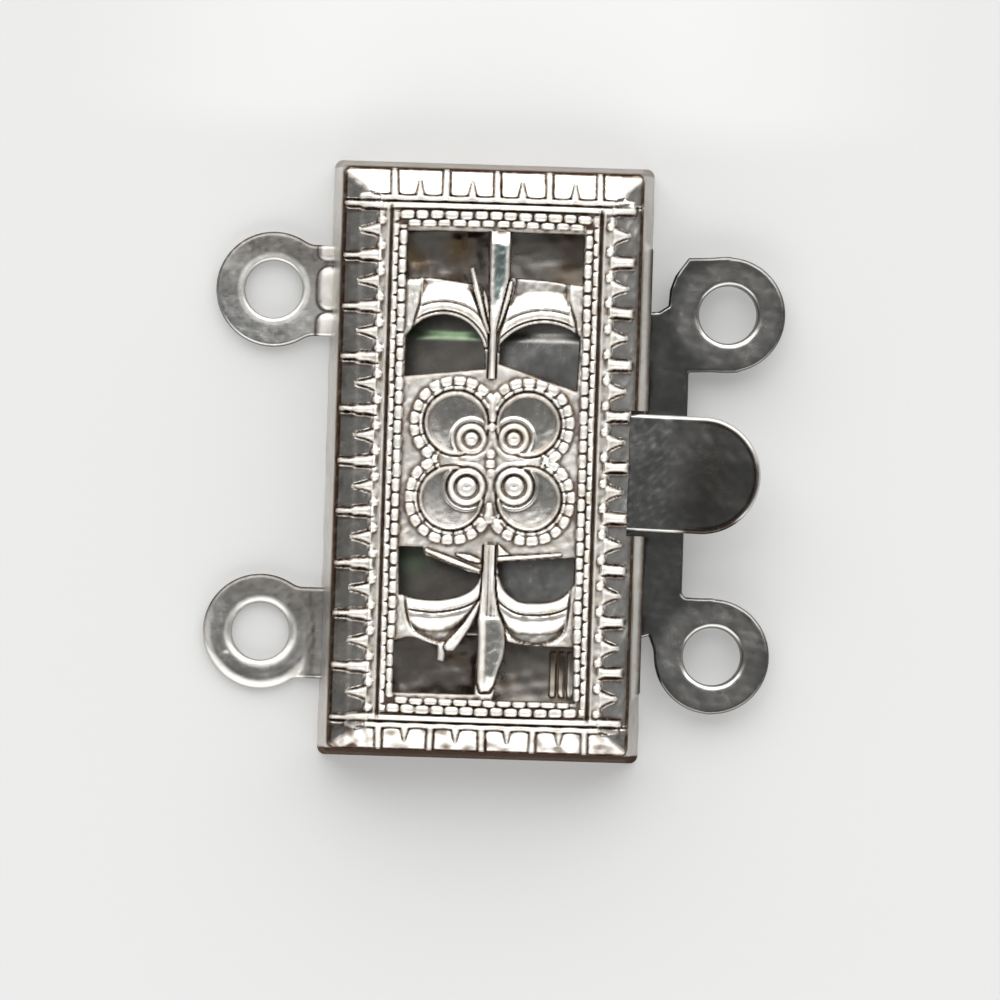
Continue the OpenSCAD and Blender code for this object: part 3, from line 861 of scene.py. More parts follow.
def frame_rows(stamping):
    """Rings of points round the box: over the border and the shoulder, down the wall and back up inside."""
    step = 0.0365
    steps = [int(2 * half / step) for half in SHOULDER]

    def level(share, z):
        xy = ring_rectangle(share, steps)
        return np.column_stack([xy, np.full(len(xy), z)])

    rows = []
    for share in np.linspace(0, PANEL_END, 36):
        xy = ring_rectangle(share, steps)
        z = stamping.look_up(stamping.z, xy[:, 0] - STAMP[0], xy[:, 1] - STAMP[1])
        rows.append(np.column_stack([xy, z]))
    edge, corner, wall_top = rows[-1], level(1.0, SHOULDER_BEND_Z), level(WALL_START, WALL_START_Z)
    for t in np.linspace(0, 1, 8)[1:]:
        rows.append(edge * (1 - t) ** 2 + corner * 2 * t * (1 - t) + wall_top * t * t)
    for t in np.linspace(0, 1, 12)[1:]:
        row = level(WALL_START + (WALL_END - WALL_START) * t, WALL_START_Z + (WALL_END_Z - WALL_START_Z) * t)
        row[:, :2] *= 1 + 0.0025 * ripple(row[:, 1:2], t, 1.6, 61)
        rows.append(row)
    rows = [lintel(row) for row in rows]
    rows.append(level(2.0, 0.0) * [0.994, 0.994, 1])
    # The inside: each ring's share of the way out, its height, and how much of the sheet is round it
    for share, z, inward in ((2.0, 0.0, 1.0), (1.5, 1.0, 1.0), (1.05, 1.9, 1.0), (0.6, 2.28, 0.7),
                             (0.3, 2.46, 0.4), (0.0, CROWN_Z - SHEET, 0.0)):
        row = level(share, z)
        if inward:
            middle = STAMP * (1 - share) if share < 1 else 0
            limit = np.abs(row[:, :2] - middle).max(0) - SHEET * inward
            row[:, :2] = np.clip(row[:, :2], -limit, limit)
        rows.append(row)
    return np.array(rows)


def make_frame(stamping):
    """The ribbed borders and the walls: one closed ring, with the slot, notch and necks cut out."""
    rows = frame_rows(stamping)
    n_rows, n = rows.shape[:2]
    r, s = np.meshgrid(np.arange(n_rows), np.arange(n), indexing="ij")
    r2, s2 = (r + 1) % n_rows, (s + 1) % n
    faces = np.stack([r * n + s, r2 * n + s, r2 * n + s2, r * n + s2], -1).reshape(-1, 4).tolist()
    ring = new_object("cover_frame", rows.reshape(-1, 3), faces)
    below = -1
    notch_y = (TAB_LOW[1] + TAB_HIGH[1]) / 2
    notch = rectangle(*RIGHT_WALL_X, notch_y - NOTCH_W / 2, notch_y + NOTCH_W / 2)
    openings = [(notch, SLOT_Z - 0.1, NOTCH_Z)]
    for _, y in LEFT_LOOPS:
        neck = rectangle(*LEFT_WALL_X, y - NECK_HALF - GAP, y + NECK_HALF + GAP)
        openings.append((neck, below, PLATE_TOP + GAP))
    cut(ring, prisms("openings", openings))
    cut(ring, prisms("slot", [(rectangle(*RIGHT_WALL_X, *SLOT_Y), below, SLOT_Z)]))
    rounded(ring, angle=45)
    mark_stamping(ring, stamping)
    return ring


def rim_pairs(ends):
    """The stretches of the outline in one cell: from each point where it is left to the next one."""
    if len(ends) == 2:
        first = 0 if ends[0][0] else 1
        return [(ends[first][1], ends[1 - first][1])]
    return [(ends[n][1], ends[(n + 1) % 4][1]) for n in range(len(ends)) if ends[n][0]]


def outlined_cells(xs, ys, d):
    """Cells of a grid where d is negative, cut along its zero line: points, faces and rim stretches."""
    keep = d < 0
    index = {}
    points = []

    def point(key, x, y):
        if key not in index:
            index[key] = len(points)
            points.append((x, y))
        return index[key]

    def crossing(a, b):
        a, b = min(a, b), max(a, b)
        # A little away from both corners, so that no two points fall together
        t = min(max(d[a] / (d[a] - d[b]), 0.02), 0.98)
        return point((a, b), xs[a[0]] + (xs[b[0]] - xs[a[0]]) * t, ys[a[1]] + (ys[b[1]] - ys[a[1]]) * t)

    faces, rim = [], []
    count = keep[:-1, :-1].astype(int) + keep[1:, :-1] + keep[1:, 1:] + keep[:-1, 1:]
    for i, j in np.argwhere(count > 0):
        ring = [(i, j), (i + 1, j), (i + 1, j + 1), (i, j + 1)]
        face, ends = [], []
        for a, b in zip(ring, ring[1:] + ring[:1]):
            if keep[a]:
                face.append(point(a, xs[a[0]], ys[a[1]]))
            if keep[a] != keep[b]:
                face.append(crossing(a, b))
                ends.append((keep[a], face[-1]))
        faces.append(face)
        rim += rim_pairs(ends)
    return np.array(points), faces, rim


def level_top(x, y):
    return np.zeros(np.shape(x))


def sheet_part(name, grid, distance, heights, edge, uneven, tones, bend=level_top, top_shape=level_top):
    """A closed piece of sheet metal over the grid where distance is negative, with rounded edges.

    The outline is followed exactly: cells that it crosses are cut along it. uneven holds the height, length
    and seed of the waves of its top. tones says how dark the top is (tarnished metal and painted shade), how
    pale (worn metal and painted highlights) and how tinted, at points, from their places and their distance
    from the edge.
    """
    xs, ys = grid
    low, high = heights
    wave_z, wave, seed = uneven
    points, faces, rim = outlined_cells(xs, ys, distance(*np.meshgrid(xs, ys, indexing="ij")))
    x, y = points.T
    away = -np.minimum(distance(x, y), 0)
    dip = np.clip(edge - away, 0, edge)
    drop = edge - np.sqrt(np.maximum(edge ** 2 - dip ** 2, 0))
    wavy = wave_z * ripple(x, y, wave, seed) + 0.35 * wave_z * ripple(x, y, wave * 0.35, seed + 1)
    lift = bend(x, y)
    raised_by = top_shape(x, y)
    upper = np.column_stack([points, high - drop - wave_z + (wavy + raised_by) + lift])
    lower = np.column_stack([points, low + drop * 0.6 + lift])
    n = len(points)
    under = [[k + n for k in reversed(face)] for face in faces]
    walls = [[b, a, a + n, b + n] for a, b in rim]
    piece = new_object(name, np.vstack([upper, lower]), faces + under + walls)
    rounded(piece, angle=50)
    dark, pale, tint = tones(x, y, away)
    plain = np.zeros(n)
    # Darker at every cut edge: tarnished, and painted shade along the outline
    recess = clamp(np.maximum(0.85 * smooth(1 - away / 0.05), dark))
    mark(piece, "recess", np.concatenate([recess, plain + 0.2]))
    mark(piece, "wear_and_highlight", np.concatenate([clamp(1.5 * clamp(raised_by / 0.1) + pale), plain]))
    mark(piece, "polish", np.ones(2 * n))
    mark(piece, "teal", np.concatenate([plain + tint, plain]))
    return piece


def span(*stretches):
    """Grid lines over several stretches, each given as its start, end and spacing."""
    lines = []
    for start, end, step in stretches:
        lines.append(np.linspace(start, end, max(2, int(round((end - start) / step)) + 1)))
    return np.unique(np.round(np.concatenate(lines), 6))


# The lips pressed into the neck of the upper left loop: their line, and the middle and half length of each
LIP_X = -4.62
LIPS = [(5.86, 0.17), (4.8, 0.51), (3.66, 0.34)]

# Pale glints on the lower left loop: place from the middle of its hole, and width
GLINTS = [(-0.5, 0.68, 0.13), (-0.72, 0.42, 0.1), (-0.95, -0.62, 0.08)]


def lip_shape(x, y, at, half):
    """1 along the outline of a pressed lip, and less inside it."""
    return ((x - LIP_X) / 0.3) ** 2 + ((y - at) / (half + 0.08)) ** 4


def left_loop_relief(x, y, loop_x, loop_y):
    """A left loop's top, sunk round its hole. The upper loop has pressed lips, the lower a rolled rim."""
    r = circle(x, y, (loop_x, loop_y), 0)
    hole = clamp(1 - (r - LOOP_HOLE) / 0.26)
    if loop_y < 0:
        low = smooth((loop_y - 0.3 - y) / 0.7)
        rolled = clamp((r - 1.28) / 0.36) ** 2 * low * smooth((-4.9 - x) / 0.3)
        return -0.1 * hole ** 2 * (1 - 0.8 * low) - 0.13 * rolled
    shape = -0.12 * hole ** 2
    for at, half in LIPS:
        lip = lip_shape(x, y, at, half)
        shape -= 0.06 * ridge(lip - 1.25, 0.3) * (x < -4.5)
        shape = np.maximum(shape, 0.09 * np.sqrt(clamp(1 - lip)))
    return shape


def left_loop_tones(x, y, away, loop_x, loop_y):
    """A left loop's painted light, with some mottling: painted shade on its upper side and next to the wall,
    and painted highlights round its hole, on the lower loop's rolled rim and in its glints.
    """
    r = circle(x, y, (loop_x, loop_y), 0)
    high = smooth((y - loop_y + 0.5) / 1.3)
    # Painted shade over the upper side: a dark outer edge and a darker upper half, mottled, kept off the
    # hole's edge
    rim = 0.9 * high * smooth(1 - away / 0.2) * (r > 1.3)
    shade = 0.5 * high * smooth((x - loop_x + 1.8) / 1.2) + 0.2 * clamp(ripple(x, y, 0.3, 73))
    shade *= smooth((r - 1.0) / 0.1)
    # Painted highlight on the sunk edge round the hole
    sunk = 0.7 * (1 - smooth((r - 0.98) / 0.1))
    if loop_y > 0:
        lips = np.min([lip_shape(x, y, at, half) for at, half in LIPS], axis=0)
        # Painted shade round the pressed lips, where the loop runs under the wall
        shade_by_wall = 0.95 * ridge(lips - 1.5, 0.45)
        pale = 0.15 * clamp(ripple(x, y, 0.3, 74)) * (x < -5.1)
    else:
        # Painted shade where the loop runs under the wall, and a dark ring on its lower side
        shade_by_wall = (0.6 + 0.3 * ripple(x, y, 0.3, 75)) * ridge(x + 4.85, 0.2)
        shade = np.maximum(shade, 0.5 * ridge(r - 1.17, 0.13) * (1 - high))
        # Painted glints, and a painted highlight on the lower rolled rim
        spots = [ridge(np.hypot((x - loop_x - a) / w, (y - loop_y - b) / (0.6 * w)), 1)
                 for a, b, w in GLINTS]
        rolled = (1 - high) * smooth((r - 1.35) / 0.15) * smooth((-4.9 - x) / 0.2)
        pale = np.maximum(1.6 * np.max(spots, axis=0), rolled)
    return clamp(np.max([rim, shade, shade_by_wall], axis=0)), np.maximum(pale, sunk), 0.0


def make_left_loop(middle, name, seed):
    """A coined loop of the back plate, as far as the wall that hides its neck."""
    loop_x, loop_y = middle

    def outline(x, y):
        neck = np.maximum(np.abs(y - loop_y) - NECK_HALF, np.maximum(loop_x - x, x + 4.3))
        body = merged(circle(x, y, middle, LOOP_R), neck, 0.12)
        return np.maximum(body, -circle(x, y, middle, LOOP_HOLE))

    def relief(x, y):
        return left_loop_relief(x, y, loop_x, loop_y)

    def tones(x, y, away):
        return left_loop_tones(x, y, away, loop_x, loop_y)

    reach = LOOP_R + 0.02
    grid = span((loop_x - reach, -4.25, 0.034)), span((loop_y - reach, loop_y + reach, 0.034))
    heights = (0.0, PLATE_TOP)
    return sheet_part(name, grid, outline, heights, 0.1, (0.006, 1.7, seed), tones, top_shape=relief)


# Outlines of the tongue's webs, from the middle of the box
UPPER_WEB = [(5.61, 5.98), (6.8, 6.03), (6.77, 4.39), (7.1, 2.78), (5.75, 2.72), (5.0, 2.72), (4.0, 2.72),
             (4.0, 4.35), (4.81, 4.43), (5.07, 4.6), (5.1, 5.06), (5.24, 5.46)]
LOWER_WEB = [(4.0, -3.52), (5.7, -3.6), (5.81, -3.7), (6.6, -3.73), (6.6, -5.37), (6.6, -6.99), (6.1, -6.85),
             (5.81, -6.51), (5.56, -6.2), (5.04, -5.48), (4.79, -4.83), (4.56, -4.9), (4.0, -4.9)]
RIGHT_LOOPS = [(6.77, 4.39), (6.6, -5.37)]

# The tongue: its right edge, its sides, the middle and radius of its fold, and its leaf's rise in degrees
PLATE_EDGE = 5.7
TONGUE_Y = (-4.98, 4.58)
FOLD_X = -3.3
FOLD_R = 0.6
LEAF_RISE = 4.5


def tongue_outline(x, y):
    """Signed distance to the lower leaf of the tongue, with its webs and loops."""
    strip = np.maximum(np.abs(x - (PLATE_EDGE + FOLD_X) / 2) - (PLATE_EDGE - FOLD_X) / 2,
                       np.abs(y - sum(TONGUE_Y) / 2) - (TONGUE_Y[1] - TONGUE_Y[0]) / 2)
    inner = np.maximum(strip, x - 4.55)
    outer = np.maximum(strip, np.maximum(np.abs(y + 0.4) - 3.3, 4.5 - x))
    web = np.minimum(polygon(x, y, UPPER_WEB), polygon(x, y, LOWER_WEB))
    body = merged(np.minimum(inner, outer), web, 0.06)
    for at in RIGHT_LOOPS:
        body = merged(body, circle(x, y, at, LOOP_R), 0.08)
    for at in RIGHT_LOOPS:
        body = np.maximum(body, -circle(x, y, at, LOOP_HOLE))
    return body


def make_tongue():
    """The lower leaf of the tongue with the two right loops: fine outside the box, coarse inside it."""
    def tones(x, y, away):
        nearest = np.min([circle(x, y, at, 0) for at in RIGHT_LOOPS], axis=0)
        in_ring = smooth((LOOP_R + 0.15 - nearest) / 0.5)
        rim = 0.8 * smooth(1 - away / 0.13) * (nearest > 1.25) * smooth((x - 5.2) / 0.5)
        return rim, 0.38 * in_ring, 0.0

    def sinks(x, y):
        shape = np.zeros(np.shape(x))
        for at in RIGHT_LOOPS:
            sunk = 0.35 + 0.65 * smooth(0.5 + (x - at[0] + 0.2 * (y - at[1])) / 1.2)
            shape -= 0.1 * sunk * clamp(1 - circle(x, y, at, LOOP_HOLE) / 0.17) ** 2
        return shape

    grid = span((FOLD_X, 4.3, 0.3), (4.3, 8.45, 0.036)), span((-7.05, 6.1, 0.036))
    heights = (TONGUE_BOTTOM, TONGUE_BOTTOM + STRIP)
    return sheet_part("tongue_sheet", grid, tongue_outline, heights, 0.07, (0.008, 1.3, 81), tones,
                      top_shape=sinks)


def sweep(name, section, y0, y1, steps):
    """A closed bar along Y with the same section all the way."""
    section = np.asarray(section)
    m = len(section)
    stations = np.linspace(y0, y1, steps + 1)
    points = np.vstack([np.column_stack([section[:, 0], np.full(m, y), section[:, 1]]) for y in stations])
    faces = []
    for s in range(steps):
        for k in range(m):
            a, b = s * m + k, s * m + (k + 1) % m
            faces.append([a, b, b + m, a + m])
    faces.append(list(range(m - 1, -1, -1)))
    faces.append([steps * m + k for k in range(m)])
    piece = new_object(name, points, faces)
    bm = bmesh.new()
    bm.from_mesh(piece.data)
    bmesh.ops.recalc_face_normals(bm, faces=bm.faces)
    bm.to_mesh(piece.data)
    bm.free()
    return piece


def make_fold():
    """The bend of the tongue inside the box, up to where the spring leaf leaves it."""
    middle_z = TONGUE_BOTTOM + FOLD_R
    turned = 180 + LEAF_RISE

    def bend(radius, start, end):
        return [(FOLD_X - radius * math.sin(math.radians(a)), middle_z - radius * math.cos(math.radians(a)))
                for a in np.linspace(start, end, 25)]

    piece = sweep("tongue_fold", bend(FOLD_R, 0, turned) + bend(FOLD_R - STRIP, turned, 0), *TONGUE_Y, 40)
    rounded(piece, angle=40)
    for name in ("recess", "wear_and_highlight"):
        mark(piece, name, np.zeros(len(piece.data.vertices)))
    return piece


def make_leaf():
    """The spring leaf, rising from the fold to the catch."""
    low, high = corners("spring_leaf")
    end_x = high[0] - BOX_X
    top_z = high[2] - 0.01

    def outline(x, y):
        return np.maximum(np.maximum(x - end_x + 0.01, FOLD_X + 0.05 - x),
                          np.maximum(TONGUE_Y[0] - y, y - TONGUE_Y[1]))

    def bend(x, y):
        rise = (x - end_x) * math.tan(math.radians(LEAF_RISE))
        return rise - 0.05 * smooth((y - 3.4) / 0.3) - 0.02 * smooth((-4.2 - y) / 0.4)

    def tones(x, y, away):
        # Painted shade over the left part of the leaf, a mottled dark streak and a green line along the step
        # near its upper edge, and a green patch
        line = (x < 0) * ridge(y - 3.57, 0.13)
        green = line + 0.6 * np.exp(-((x + 2.08) / 0.5) ** 2 - ((y + 2.87) / 0.4) ** 2)
        streak = (0.35 + 0.5 * clamp(ripple(x, y, 0.7, 78))) * ridge(y - 3.6, 0.22)
        return np.maximum(0.65 * smooth((0.6 - x) / 1.2), streak), 0.0, green

    grid = span((FOLD_X, end_x + 0.1, 0.08)), span((-5.1, 3.3, 0.08), (3.3, 3.8, 0.04), (3.8, 4.7, 0.08))
    heights = (top_z - STRIP, top_z)
    return sheet_part("leaf_sheet", grid, outline, heights, 0.04, (0.01, 2.4, 91), tones, bend)


def make_tab():
    """The thumb tab: a strip with a round end, its edges broken and its tip bent down a little."""
    middle = (TAB_LOW[1] + TAB_HIGH[1]) / 2
    half = 1.665
    start, end = TAB_LOW[0] - BOX_X, TAB_HIGH[0] - BOX_X
    turn = math.radians(-1)

    def outline(x, y):
        along = (x - end + half) * math.cos(turn) + (y - middle) * math.sin(turn)
        across = -(x - end + half) * math.sin(turn) + (y - middle) * math.cos(turn)
        strip = np.maximum(np.abs(across) - half, np.maximum(start + 0.02 - x, along))
        return np.minimum(strip, np.hypot(along, across) - half)

    def bend(x, y):
        across = (y - middle) / half
        return -0.05 * smooth((x - 5.2) / 2.6) ** 2 - 0.03 * across ** 2 + 0.02 * smooth((5.4 - x) / 1.0)

    def tones(x, y, away):
        # Painted shade in the middle of the tab. Darker along a line inside its edge and along part of its
        # lower edge; paler along its edges and mottled near the box.
        dark = 0.65 * np.exp(-((x - 6.5) / 0.95) ** 2 - ((y - middle) / 1.5) ** 4)
        line = ridge(away - 0.16, 0.06) * smooth((x - 5.2) / 1.2)
        foot = smooth((x - 5.3) / 0.5) * smooth((middle - 1.0 - y) / 0.4) * smooth(1.8 - away / 0.1)
        mottled = (0.12 + 0.2 * clamp(ripple(x, y, 0.25, 76))) * smooth((5.9 - x) / 1.2)
        pale = np.maximum(smooth(1 - away / 0.11), mottled) * (1 - foot)
        return np.max([dark, line, foot], axis=0), pale, 0.0

    grid = span((start, end + 0.03, 0.036)), span((middle - 1.75, middle + 1.75, 0.036))
    heights = (TAB_LOW[2] + 0.05, TAB_HIGH[2])
    return sheet_part("tab_sheet", grid, outline, heights, 0.1, (0.006, 1.4, 95), tones, bend)


# Pale patches on the plate inside, seen through the upper windows: place, half width and half height
PLATE_PATCHES = [(1.11, 6.38, 0.32, 0.12), (1.89, 6.14, 0.14, 0.14), (2.22, 6.0, 0.08, 0.34),
                 (-0.8, 6.2, 0.1, 0.3)]


def make_floor_plate():
    """The back plate inside the walls, seen through the windows, with three short ribs in a corner."""
    inside = FOOT - SHEET - 0.08

    def outline(x, y):
        body = np.maximum(np.abs(x) - inside[0], np.abs(y) - inside[1])
        sill = np.maximum(np.maximum(x - FOOT[0], -x), np.abs(y + 0.15) - 6.2)
        return np.minimum(body, sill)

    def short_ribs(x, y):
        height = np.zeros(np.shape(x))
        for at in (2.09, 2.34, 2.59):
            rib = stroke(x, y, [(at, -5.45), (at, -6.6)], [0.2, 0.2])
            height = np.maximum(height, mound(rib, 0.03, 0.14) * (1 + 0.9 * clamp((-5.45 - y) / 1.15)))
        return height

    def tones(x, y, away):
        # Painted light: paler towards the right. Pale patches, and a painted gold reflection near the upper
        # windows
        patches = [1.2 * np.exp(-((x - a) / w) ** 4 - ((y - b) / h) ** 4) for a, b, w, h in PLATE_PATCHES]
        painted_gold_reflection = np.exp(-((x + 0.93) / 0.35) ** 2 - ((y - 6.1) / 0.45) ** 2) + 0.4 * ridge(x - 2.22, 0.3)
        return 0.0, np.maximum(0.8 * smooth((x - 0.2) / 0.6), np.max(patches, axis=0)), clamp(painted_gold_reflection)

    end_x, end_y = FOOT + 0.05
    grid = (span((-end_x, -1.4, 0.12), (-1.4, 2.75, 0.03), (2.75, end_x, 0.12)),
            span((-end_y, -6.8, 0.12), (-6.8, -5.2, 0.05), (-5.2, 5.6, 0.12), (5.6, 6.6, 0.04),
                 (6.6, end_y, 0.12)))
    return sheet_part("back_sheet", grid, outline, (0.0, PLATE_TOP), 0.05, (0.02, 1.5, 99), tones,
                      top_shape=short_ribs)


class Nodes:
    """Short ways to add and join the nodes of a material or a world."""

    def __init__(self, tree):
        self.tree = tree
        tree.nodes.clear()

    def add(self, kind, inputs=(), **settings):
        node = self.tree.nodes.new(kind)
        for key, value in settings.items():
            setattr(node, key, value)
        for key, value in dict(inputs).items():
            self.join(value, node.inputs[key])
        return node

    def join(self, value, socket):
        """Links a socket to another node's output, or gives it a plain value."""
        if isinstance(value, bpy.types.NodeSocket):
            self.tree.links.new(value, socket)
        else:
            socket.default_value = value

    def math(self, operation, a, b=0.0, clamp_it=False):
        return self.add("ShaderNodeMath", {0: a, 1: b}, operation=operation, use_clamp=clamp_it).outputs[0]

    def times(self, a, b, clamp_it=False):
        return self.math("MULTIPLY", a, b, clamp_it)

    def plus(self, a, b, clamp_it=False):
        return self.math("ADD", a, b, clamp_it)

    def remap(self, value, low, high, to_low=0.0, to_high=1.0):
        node = self.add("ShaderNodeMapRange", {0: value, 1: low, 2: high, 3: to_low, 4: to_high},
                        interpolation_type="SMOOTHSTEP")
        return node.outputs[0]

    def mix(self, share, a, b):
        """A colour between two others, each a socket or three plain numbers."""
        node = self.add("ShaderNodeMix", data_type="RGBA", clamp_factor=True)
        self.join(share, node.inputs[0])
        for colour, socket in ((a, node.inputs[6]), (b, node.inputs[7])):
            self.join((*colour, 1.0) if isinstance(colour, tuple) else colour, socket)
        return node.outputs[2]

    def noise(self, where, scale, detail, rough, warp=0.0):
        return self.add("ShaderNodeTexNoise", {"Vector": where, "Scale": scale, "Detail": detail,
                                               "Roughness": rough, "Distortion": warp}).outputs[0]

    def finish(self, shader, kind):
        """Joins the shader to the output of the material or world."""
        out = self.add(kind)
        self.tree.links.new(shader.outputs[0], out.inputs[0])


# Noises of the metal, each with its scale, detail, roughness and, where it has one, distortion
BLOTCHES = (900.0, 5.0, 0.62, 0.4)
SPECKS = (5200.0, 4.0, 0.6)
PATCHES = (620.0, 3.0, 0.55, 0.6)
CLOUDS = (2300.0, 5.0, 0.65, 0.5)
SCRATCHES = (2600.0, 3.0, 0.7, 0.2)

# Colours of brown patches, of the film on frosted metal, of worn metal and painted highlights, and of
# tarnished metal and painted shade seen at a low angle
BROWN = (0.5, 0.32, 0.14)
FILM = (0.4, 0.31, 0.2)
WORN_AND_HIGHLIGHT = (0.93, 0.9, 0.85)
LOW_ANGLE_TARNISH_AND_SHADE = (0.22, 0.13, 0.09)
WHITE = (1.0, 1.0, 1.0)


def plated(name, light, dark, tarnish_and_shade_colour, rough, mottle, bump=0.25, brown=0.0, frost=0.0, spots=0.5,
           patina=0.0, tint=(0.36, 0.52, 0.5)):
    """Plated metal: mottled, scratched, brown in its recesses and where shade is painted, paler where worn
    and where highlights are painted, and matt where frosted.
    """
    material = bpy.data.materials.new(name)
    material.use_nodes = True
    n = Nodes(material.node_tree)
    where = n.add("ShaderNodeTexCoord").outputs["Object"]
    marks = [n.add("ShaderNodeAttribute", attribute_name=key).outputs["Fac"] for key in MARKS]
    recess, wear_and_highlight, polish, teal = marks
    blotches = n.noise(where, *BLOTCHES)
    specks = n.noise(where, *SPECKS)
    frosted = n.math("SUBTRACT", 1.0, polish)
    # Colour: two tones of metal, brown patches, a film on the frosted parts, tarnish with painted shade,
    # worn metal with painted highlights, and tint
    patch = n.noise(where, *PATCHES)
    colour = n.mix(n.remap(blotches, 0.5 - spots / 2, 0.5 + spots / 2), dark, light)
    colour = n.mix(n.times(n.remap(patch, 0.52, 0.68), brown), colour, BROWN)
    film = n.remap(n.noise(where, *CLOUDS), 0.48, 0.72)
    colour = n.mix(n.times(n.times(film, frosted), patina), colour, FILM)
    # How much tarnish and painted shade darken the colour
    tarnish_and_shade = n.times(recess, n.remap(specks, 0.2, 0.6, 0.86, 1.1))
    colour = n.mix(n.times(tarnish_and_shade, 1.0, True), colour, tarnish_and_shade_colour)
    # Paler where the metal is worn and where highlights are painted
    colour = n.mix(n.times(wear_and_highlight, 0.6, True), colour, WORN_AND_HIGHLIGHT)
    colour = n.mix(n.times(teal, 0.8), colour, tint)
    # Tarnish and painted shade stay dark where they are seen at a low angle
    edge_tint = n.mix(tarnish_and_shade, WHITE, LOW_ANGLE_TARNISH_AND_SHADE)
    cloud = n.plus(n.times(specks, 0.45), n.times(blotches, 0.55))
    roughness = n.remap(cloud, 0.35, 0.65, rough, rough + mottle)
    roughness = n.plus(roughness, n.times(frosted, frost))
    roughness = n.plus(roughness, n.times(wear_and_highlight, 0.16))
    roughness = n.plus(roughness, n.times(recess, 0.12), True)
    # Fine relief: specks, scratches and blotches, less on the polished parts
    stretched = n.add("ShaderNodeMapping", {"Vector": where, "Scale": (1.0, 9.0, 1.0)}).outputs[0]
    scratches = n.noise(stretched, *SCRATCHES)
    grain = n.plus(n.times(specks, 0.6), n.times(scratches, 0.4))
    grain = n.plus(grain, n.times(blotches, 1.6))
    grain = n.times(grain, n.math("SUBTRACT", 1.0, n.times(polish, 0.75)))
    bumped = n.add("ShaderNodeBump", {"Height": grain, "Strength": bump, "Distance": 0.00003}).outputs[0]
    shader = n.add("ShaderNodeBsdfPrincipled", {
        "Base Color": colour, "Roughness": roughness, "Normal": bumped, "Metallic": 1.0,
        "Specular Tint": edge_tint})
    n.finish(shader, "ShaderNodeOutputMaterial")
    return material


# Each metal of the clasp: two tones, the colour of its tarnish and painted shade, gloss and unevenness
METALS = {
    "bright_plate": dict(light=(0.84, 0.82, 0.78), dark=(0.66, 0.64, 0.595), tarnish_and_shade_colour=(0.08, 0.05, 0.034),
                         rough=0.16, mottle=0.08, frost=0.24, patina=0.75),
    "coined_plate": dict(light=(0.62, 0.62, 0.605), dark=(0.44, 0.44, 0.43), tarnish_and_shade_colour=(0.08, 0.06, 0.045),
                         rough=0.26, mottle=0.14, bump=0.7, spots=0.8),
    "strip_plate": dict(light=(0.35, 0.355, 0.345), dark=(0.27, 0.275, 0.27), tarnish_and_shade_colour=(0.05, 0.036, 0.026),
                        rough=0.14, mottle=0.08, bump=0.3, spots=0.8),
    "leaf_plate": dict(light=(0.5, 0.5, 0.49), dark=(0.4, 0.4, 0.39), tarnish_and_shade_colour=(0.1, 0.08, 0.06),
                       rough=0.2, mottle=0.08, bump=0.12, spots=1.0, tint=(0.22, 0.36, 0.2)),
    "inner_plate": dict(light=(0.8, 0.74, 0.68), dark=(0.56, 0.5, 0.45), tarnish_and_shade_colour=(0.1, 0.06, 0.04),
                        rough=0.14, mottle=0.1, bump=0.2, brown=0.7, tint=(0.6, 0.38, 0.14)),
}


def floor_material():
    """Pale paper that glows a little all over, which lifts its shadows, and more behind the clasp: a painted
    pool of light where the clasp's shadow falls.
    """
    material = bpy.data.materials.new("pale_paper")
    material.use_nodes = True
    n = Nodes(material.node_tree)
    where = n.add("ShaderNodeTexCoord").outputs["Object"]
    x, y, _ = n.add("ShaderNodeSeparateXYZ", {0: where}).outputs
    colour = n.mix(n.noise(where, 60.0, 2.0, 0.5), (0.425, 0.43, 0.43), (0.44, 0.44, 0.44))
    # Painted light: a pool of light behind the clasp, where its shadow falls
    behind = n.times(n.remap(y, 0.0085, 0.0105), n.remap(y, 0.03, 0.012))
    behind = n.times(behind, n.remap(n.math("ABSOLUTE", x), 0.014, 0.004))
    # A painted glow over all the paper, which lifts its shadows
    painted_glow = n.plus(n.times(behind, 0.1), 0.2)
    shader = n.add("ShaderNodeBsdfPrincipled", {
        "Base Color": colour, "Roughness": 0.9, "Specular IOR Level": 0.1,
        "Emission Color": (1.0, 1.0, 0.995, 1.0), "Emission Strength": painted_glow})
    n.finish(shader, "ShaderNodeOutputMaterial")
    return material


# How bright the parts of the studio are
BACK_LIGHT = 3.1
FRONT_LIGHT = 2.1
RIGHT_LIGHT = 0.03
LOW_RIGHT_LIGHT = 0.6
HORIZON_LIGHT = 0.35


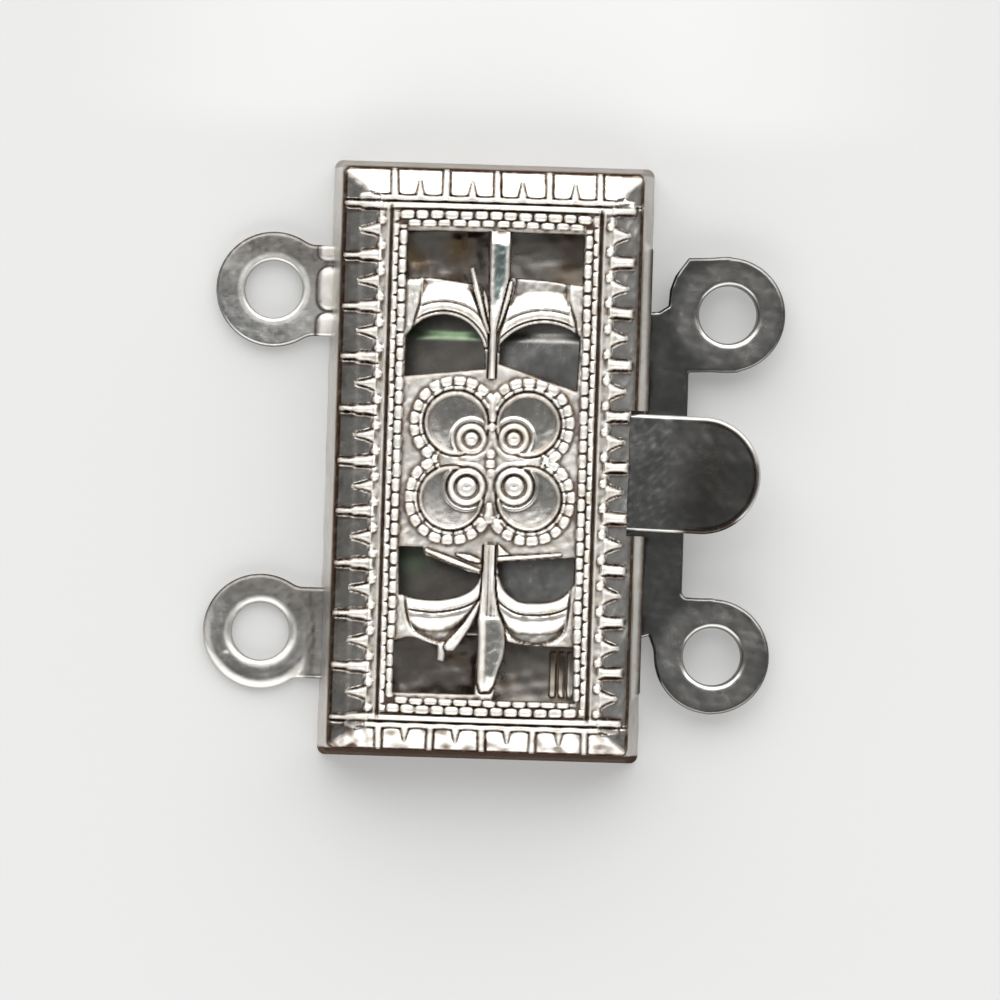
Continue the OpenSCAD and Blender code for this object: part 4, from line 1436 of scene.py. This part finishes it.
def make_world():
    """A studio as the metal mirrors it: dark overhead, soft boxes at both ends, dim sides, pale horizon."""
    world = bpy.data.worlds.new("studio")
    bpy.context.scene.world = world
    world.use_nodes = True
    n = Nodes(world.node_tree)
    way = n.add("ShaderNodeTexCoord").outputs["Generated"]
    x, y, z = n.add("ShaderNodeSeparateXYZ", {0: way}).outputs
    flat = n.math("MAXIMUM", n.math("SQRT", n.plus(n.times(x, x), n.times(y, y))), 0.0001)
    toward = n.math("DIVIDE", y, flat)
    across = n.math("DIVIDE", x, flat)
    back = n.times(n.remap(toward, 0.3, 0.7), n.remap(z, 0.985, 0.92))
    front = n.times(n.remap(toward, -0.4, -0.75), n.remap(z, 0.86, 0.7))
    lights = n.plus(n.times(back, BACK_LIGHT), n.times(front, FRONT_LIGHT))
    lights = n.times(lights, n.remap(z, -0.01, 0.05))
    zenith = n.remap(z, 0.85, 1.0, 0.16, 0.12)
    right = n.times(n.remap(across, 0.2, 0.8), n.remap(z, 0.95, 0.6, 0.0, RIGHT_LIGHT))
    low_right = n.times(n.remap(across, 0.55, 0.9), n.remap(z, 0.26, 0.16, 0.0, LOW_RIGHT_LIGHT))
    right = n.plus(right, n.times(low_right, n.remap(z, 0.0, 0.1)))
    horizon = n.remap(z, 0.0, 0.1, HORIZON_LIGHT, 0.0)
    strength = n.plus(n.plus(lights, zenith), n.plus(right, horizon))
    shader = n.add("ShaderNodeBackground", {0: (1.0, 0.995, 0.985, 1.0), 1: strength})
    n.finish(shader, "ShaderNodeOutputWorld")


def make_floor():
    """A large sheet of paper just under the clasp."""
    half = 1.5
    mesh = bpy.data.meshes.new("floor")
    mesh.from_pydata([(x, y, 0) for x, y in rectangle(-half, half, -half, half)], [], [(0, 1, 2, 3)])
    floor = bpy.data.objects.new("floor", mesh)
    floor.location.z = -0.02 * MM
    floor.data.materials.append(floor_material())
    bpy.context.scene.collection.objects.link(floor)


def make_camera():
    """Straight above, so far away that the view is nearly parallel, and turned as the photograph is."""
    camera_x, camera_y, camera_z = 0.1985, -1.0842, 400.0
    turned = math.radians(1.75)
    # The width of the view at the middle height of the clasp
    seen, seen_z = 28.49, 1.5
    data = bpy.data.cameras.new("camera")
    data.sensor_width = 36.0
    data.lens = data.sensor_width * (camera_z - seen_z) / seen
    data.clip_start, data.clip_end = 0.01, 10.0
    camera = bpy.data.objects.new("camera", data)
    camera.location = (camera_x * MM, camera_y * MM, camera_z * MM)
    camera.rotation_euler = (0, 0, turned)
    bpy.context.scene.collection.objects.link(camera)
    bpy.context.scene.camera = camera


def finish_piece(piece, body, metal, node):
    """Gives a piece its metal, and says what it rides on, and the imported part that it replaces."""
    piece.data.materials.clear()
    piece.data.materials.append(metal)
    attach(piece, body)
    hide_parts(node)


def build():
    bpy.context.scene.view_settings.view_transform = "Standard"
    make_world()
    make_floor()
    make_camera()
    metals = {name: plated(name, **values) for name, values in METALS.items()}
    strip = metals["strip_plate"]
    stamping = Stamping()
    finish_piece(make_face(stamping), "box", metals["bright_plate"], "cover")
    finish_piece(make_frame(stamping), "box", metals["bright_plate"], "cover")
    finish_piece(make_floor_plate(), "box", metals["inner_plate"], "back_plate")
    upper = make_left_loop(LEFT_LOOPS[0], "left_loop_upper", 70)
    finish_piece(upper, "box", metals["coined_plate"], "back_plate")
    lower = make_left_loop(LEFT_LOOPS[1], "left_loop_lower", 71)
    finish_piece(lower, "box", metals["coined_plate"], "back_plate")
    finish_piece(make_tongue(), "tongue", strip, "tongue_plate")
    finish_piece(make_fold(), "tongue", strip, "tongue_plate")
    finish_piece(make_leaf(), "leaf", metals["leaf_plate"], "spring_leaf")
    finish_piece(make_tab(), "leaf", strip, "thumb_tab")


build()
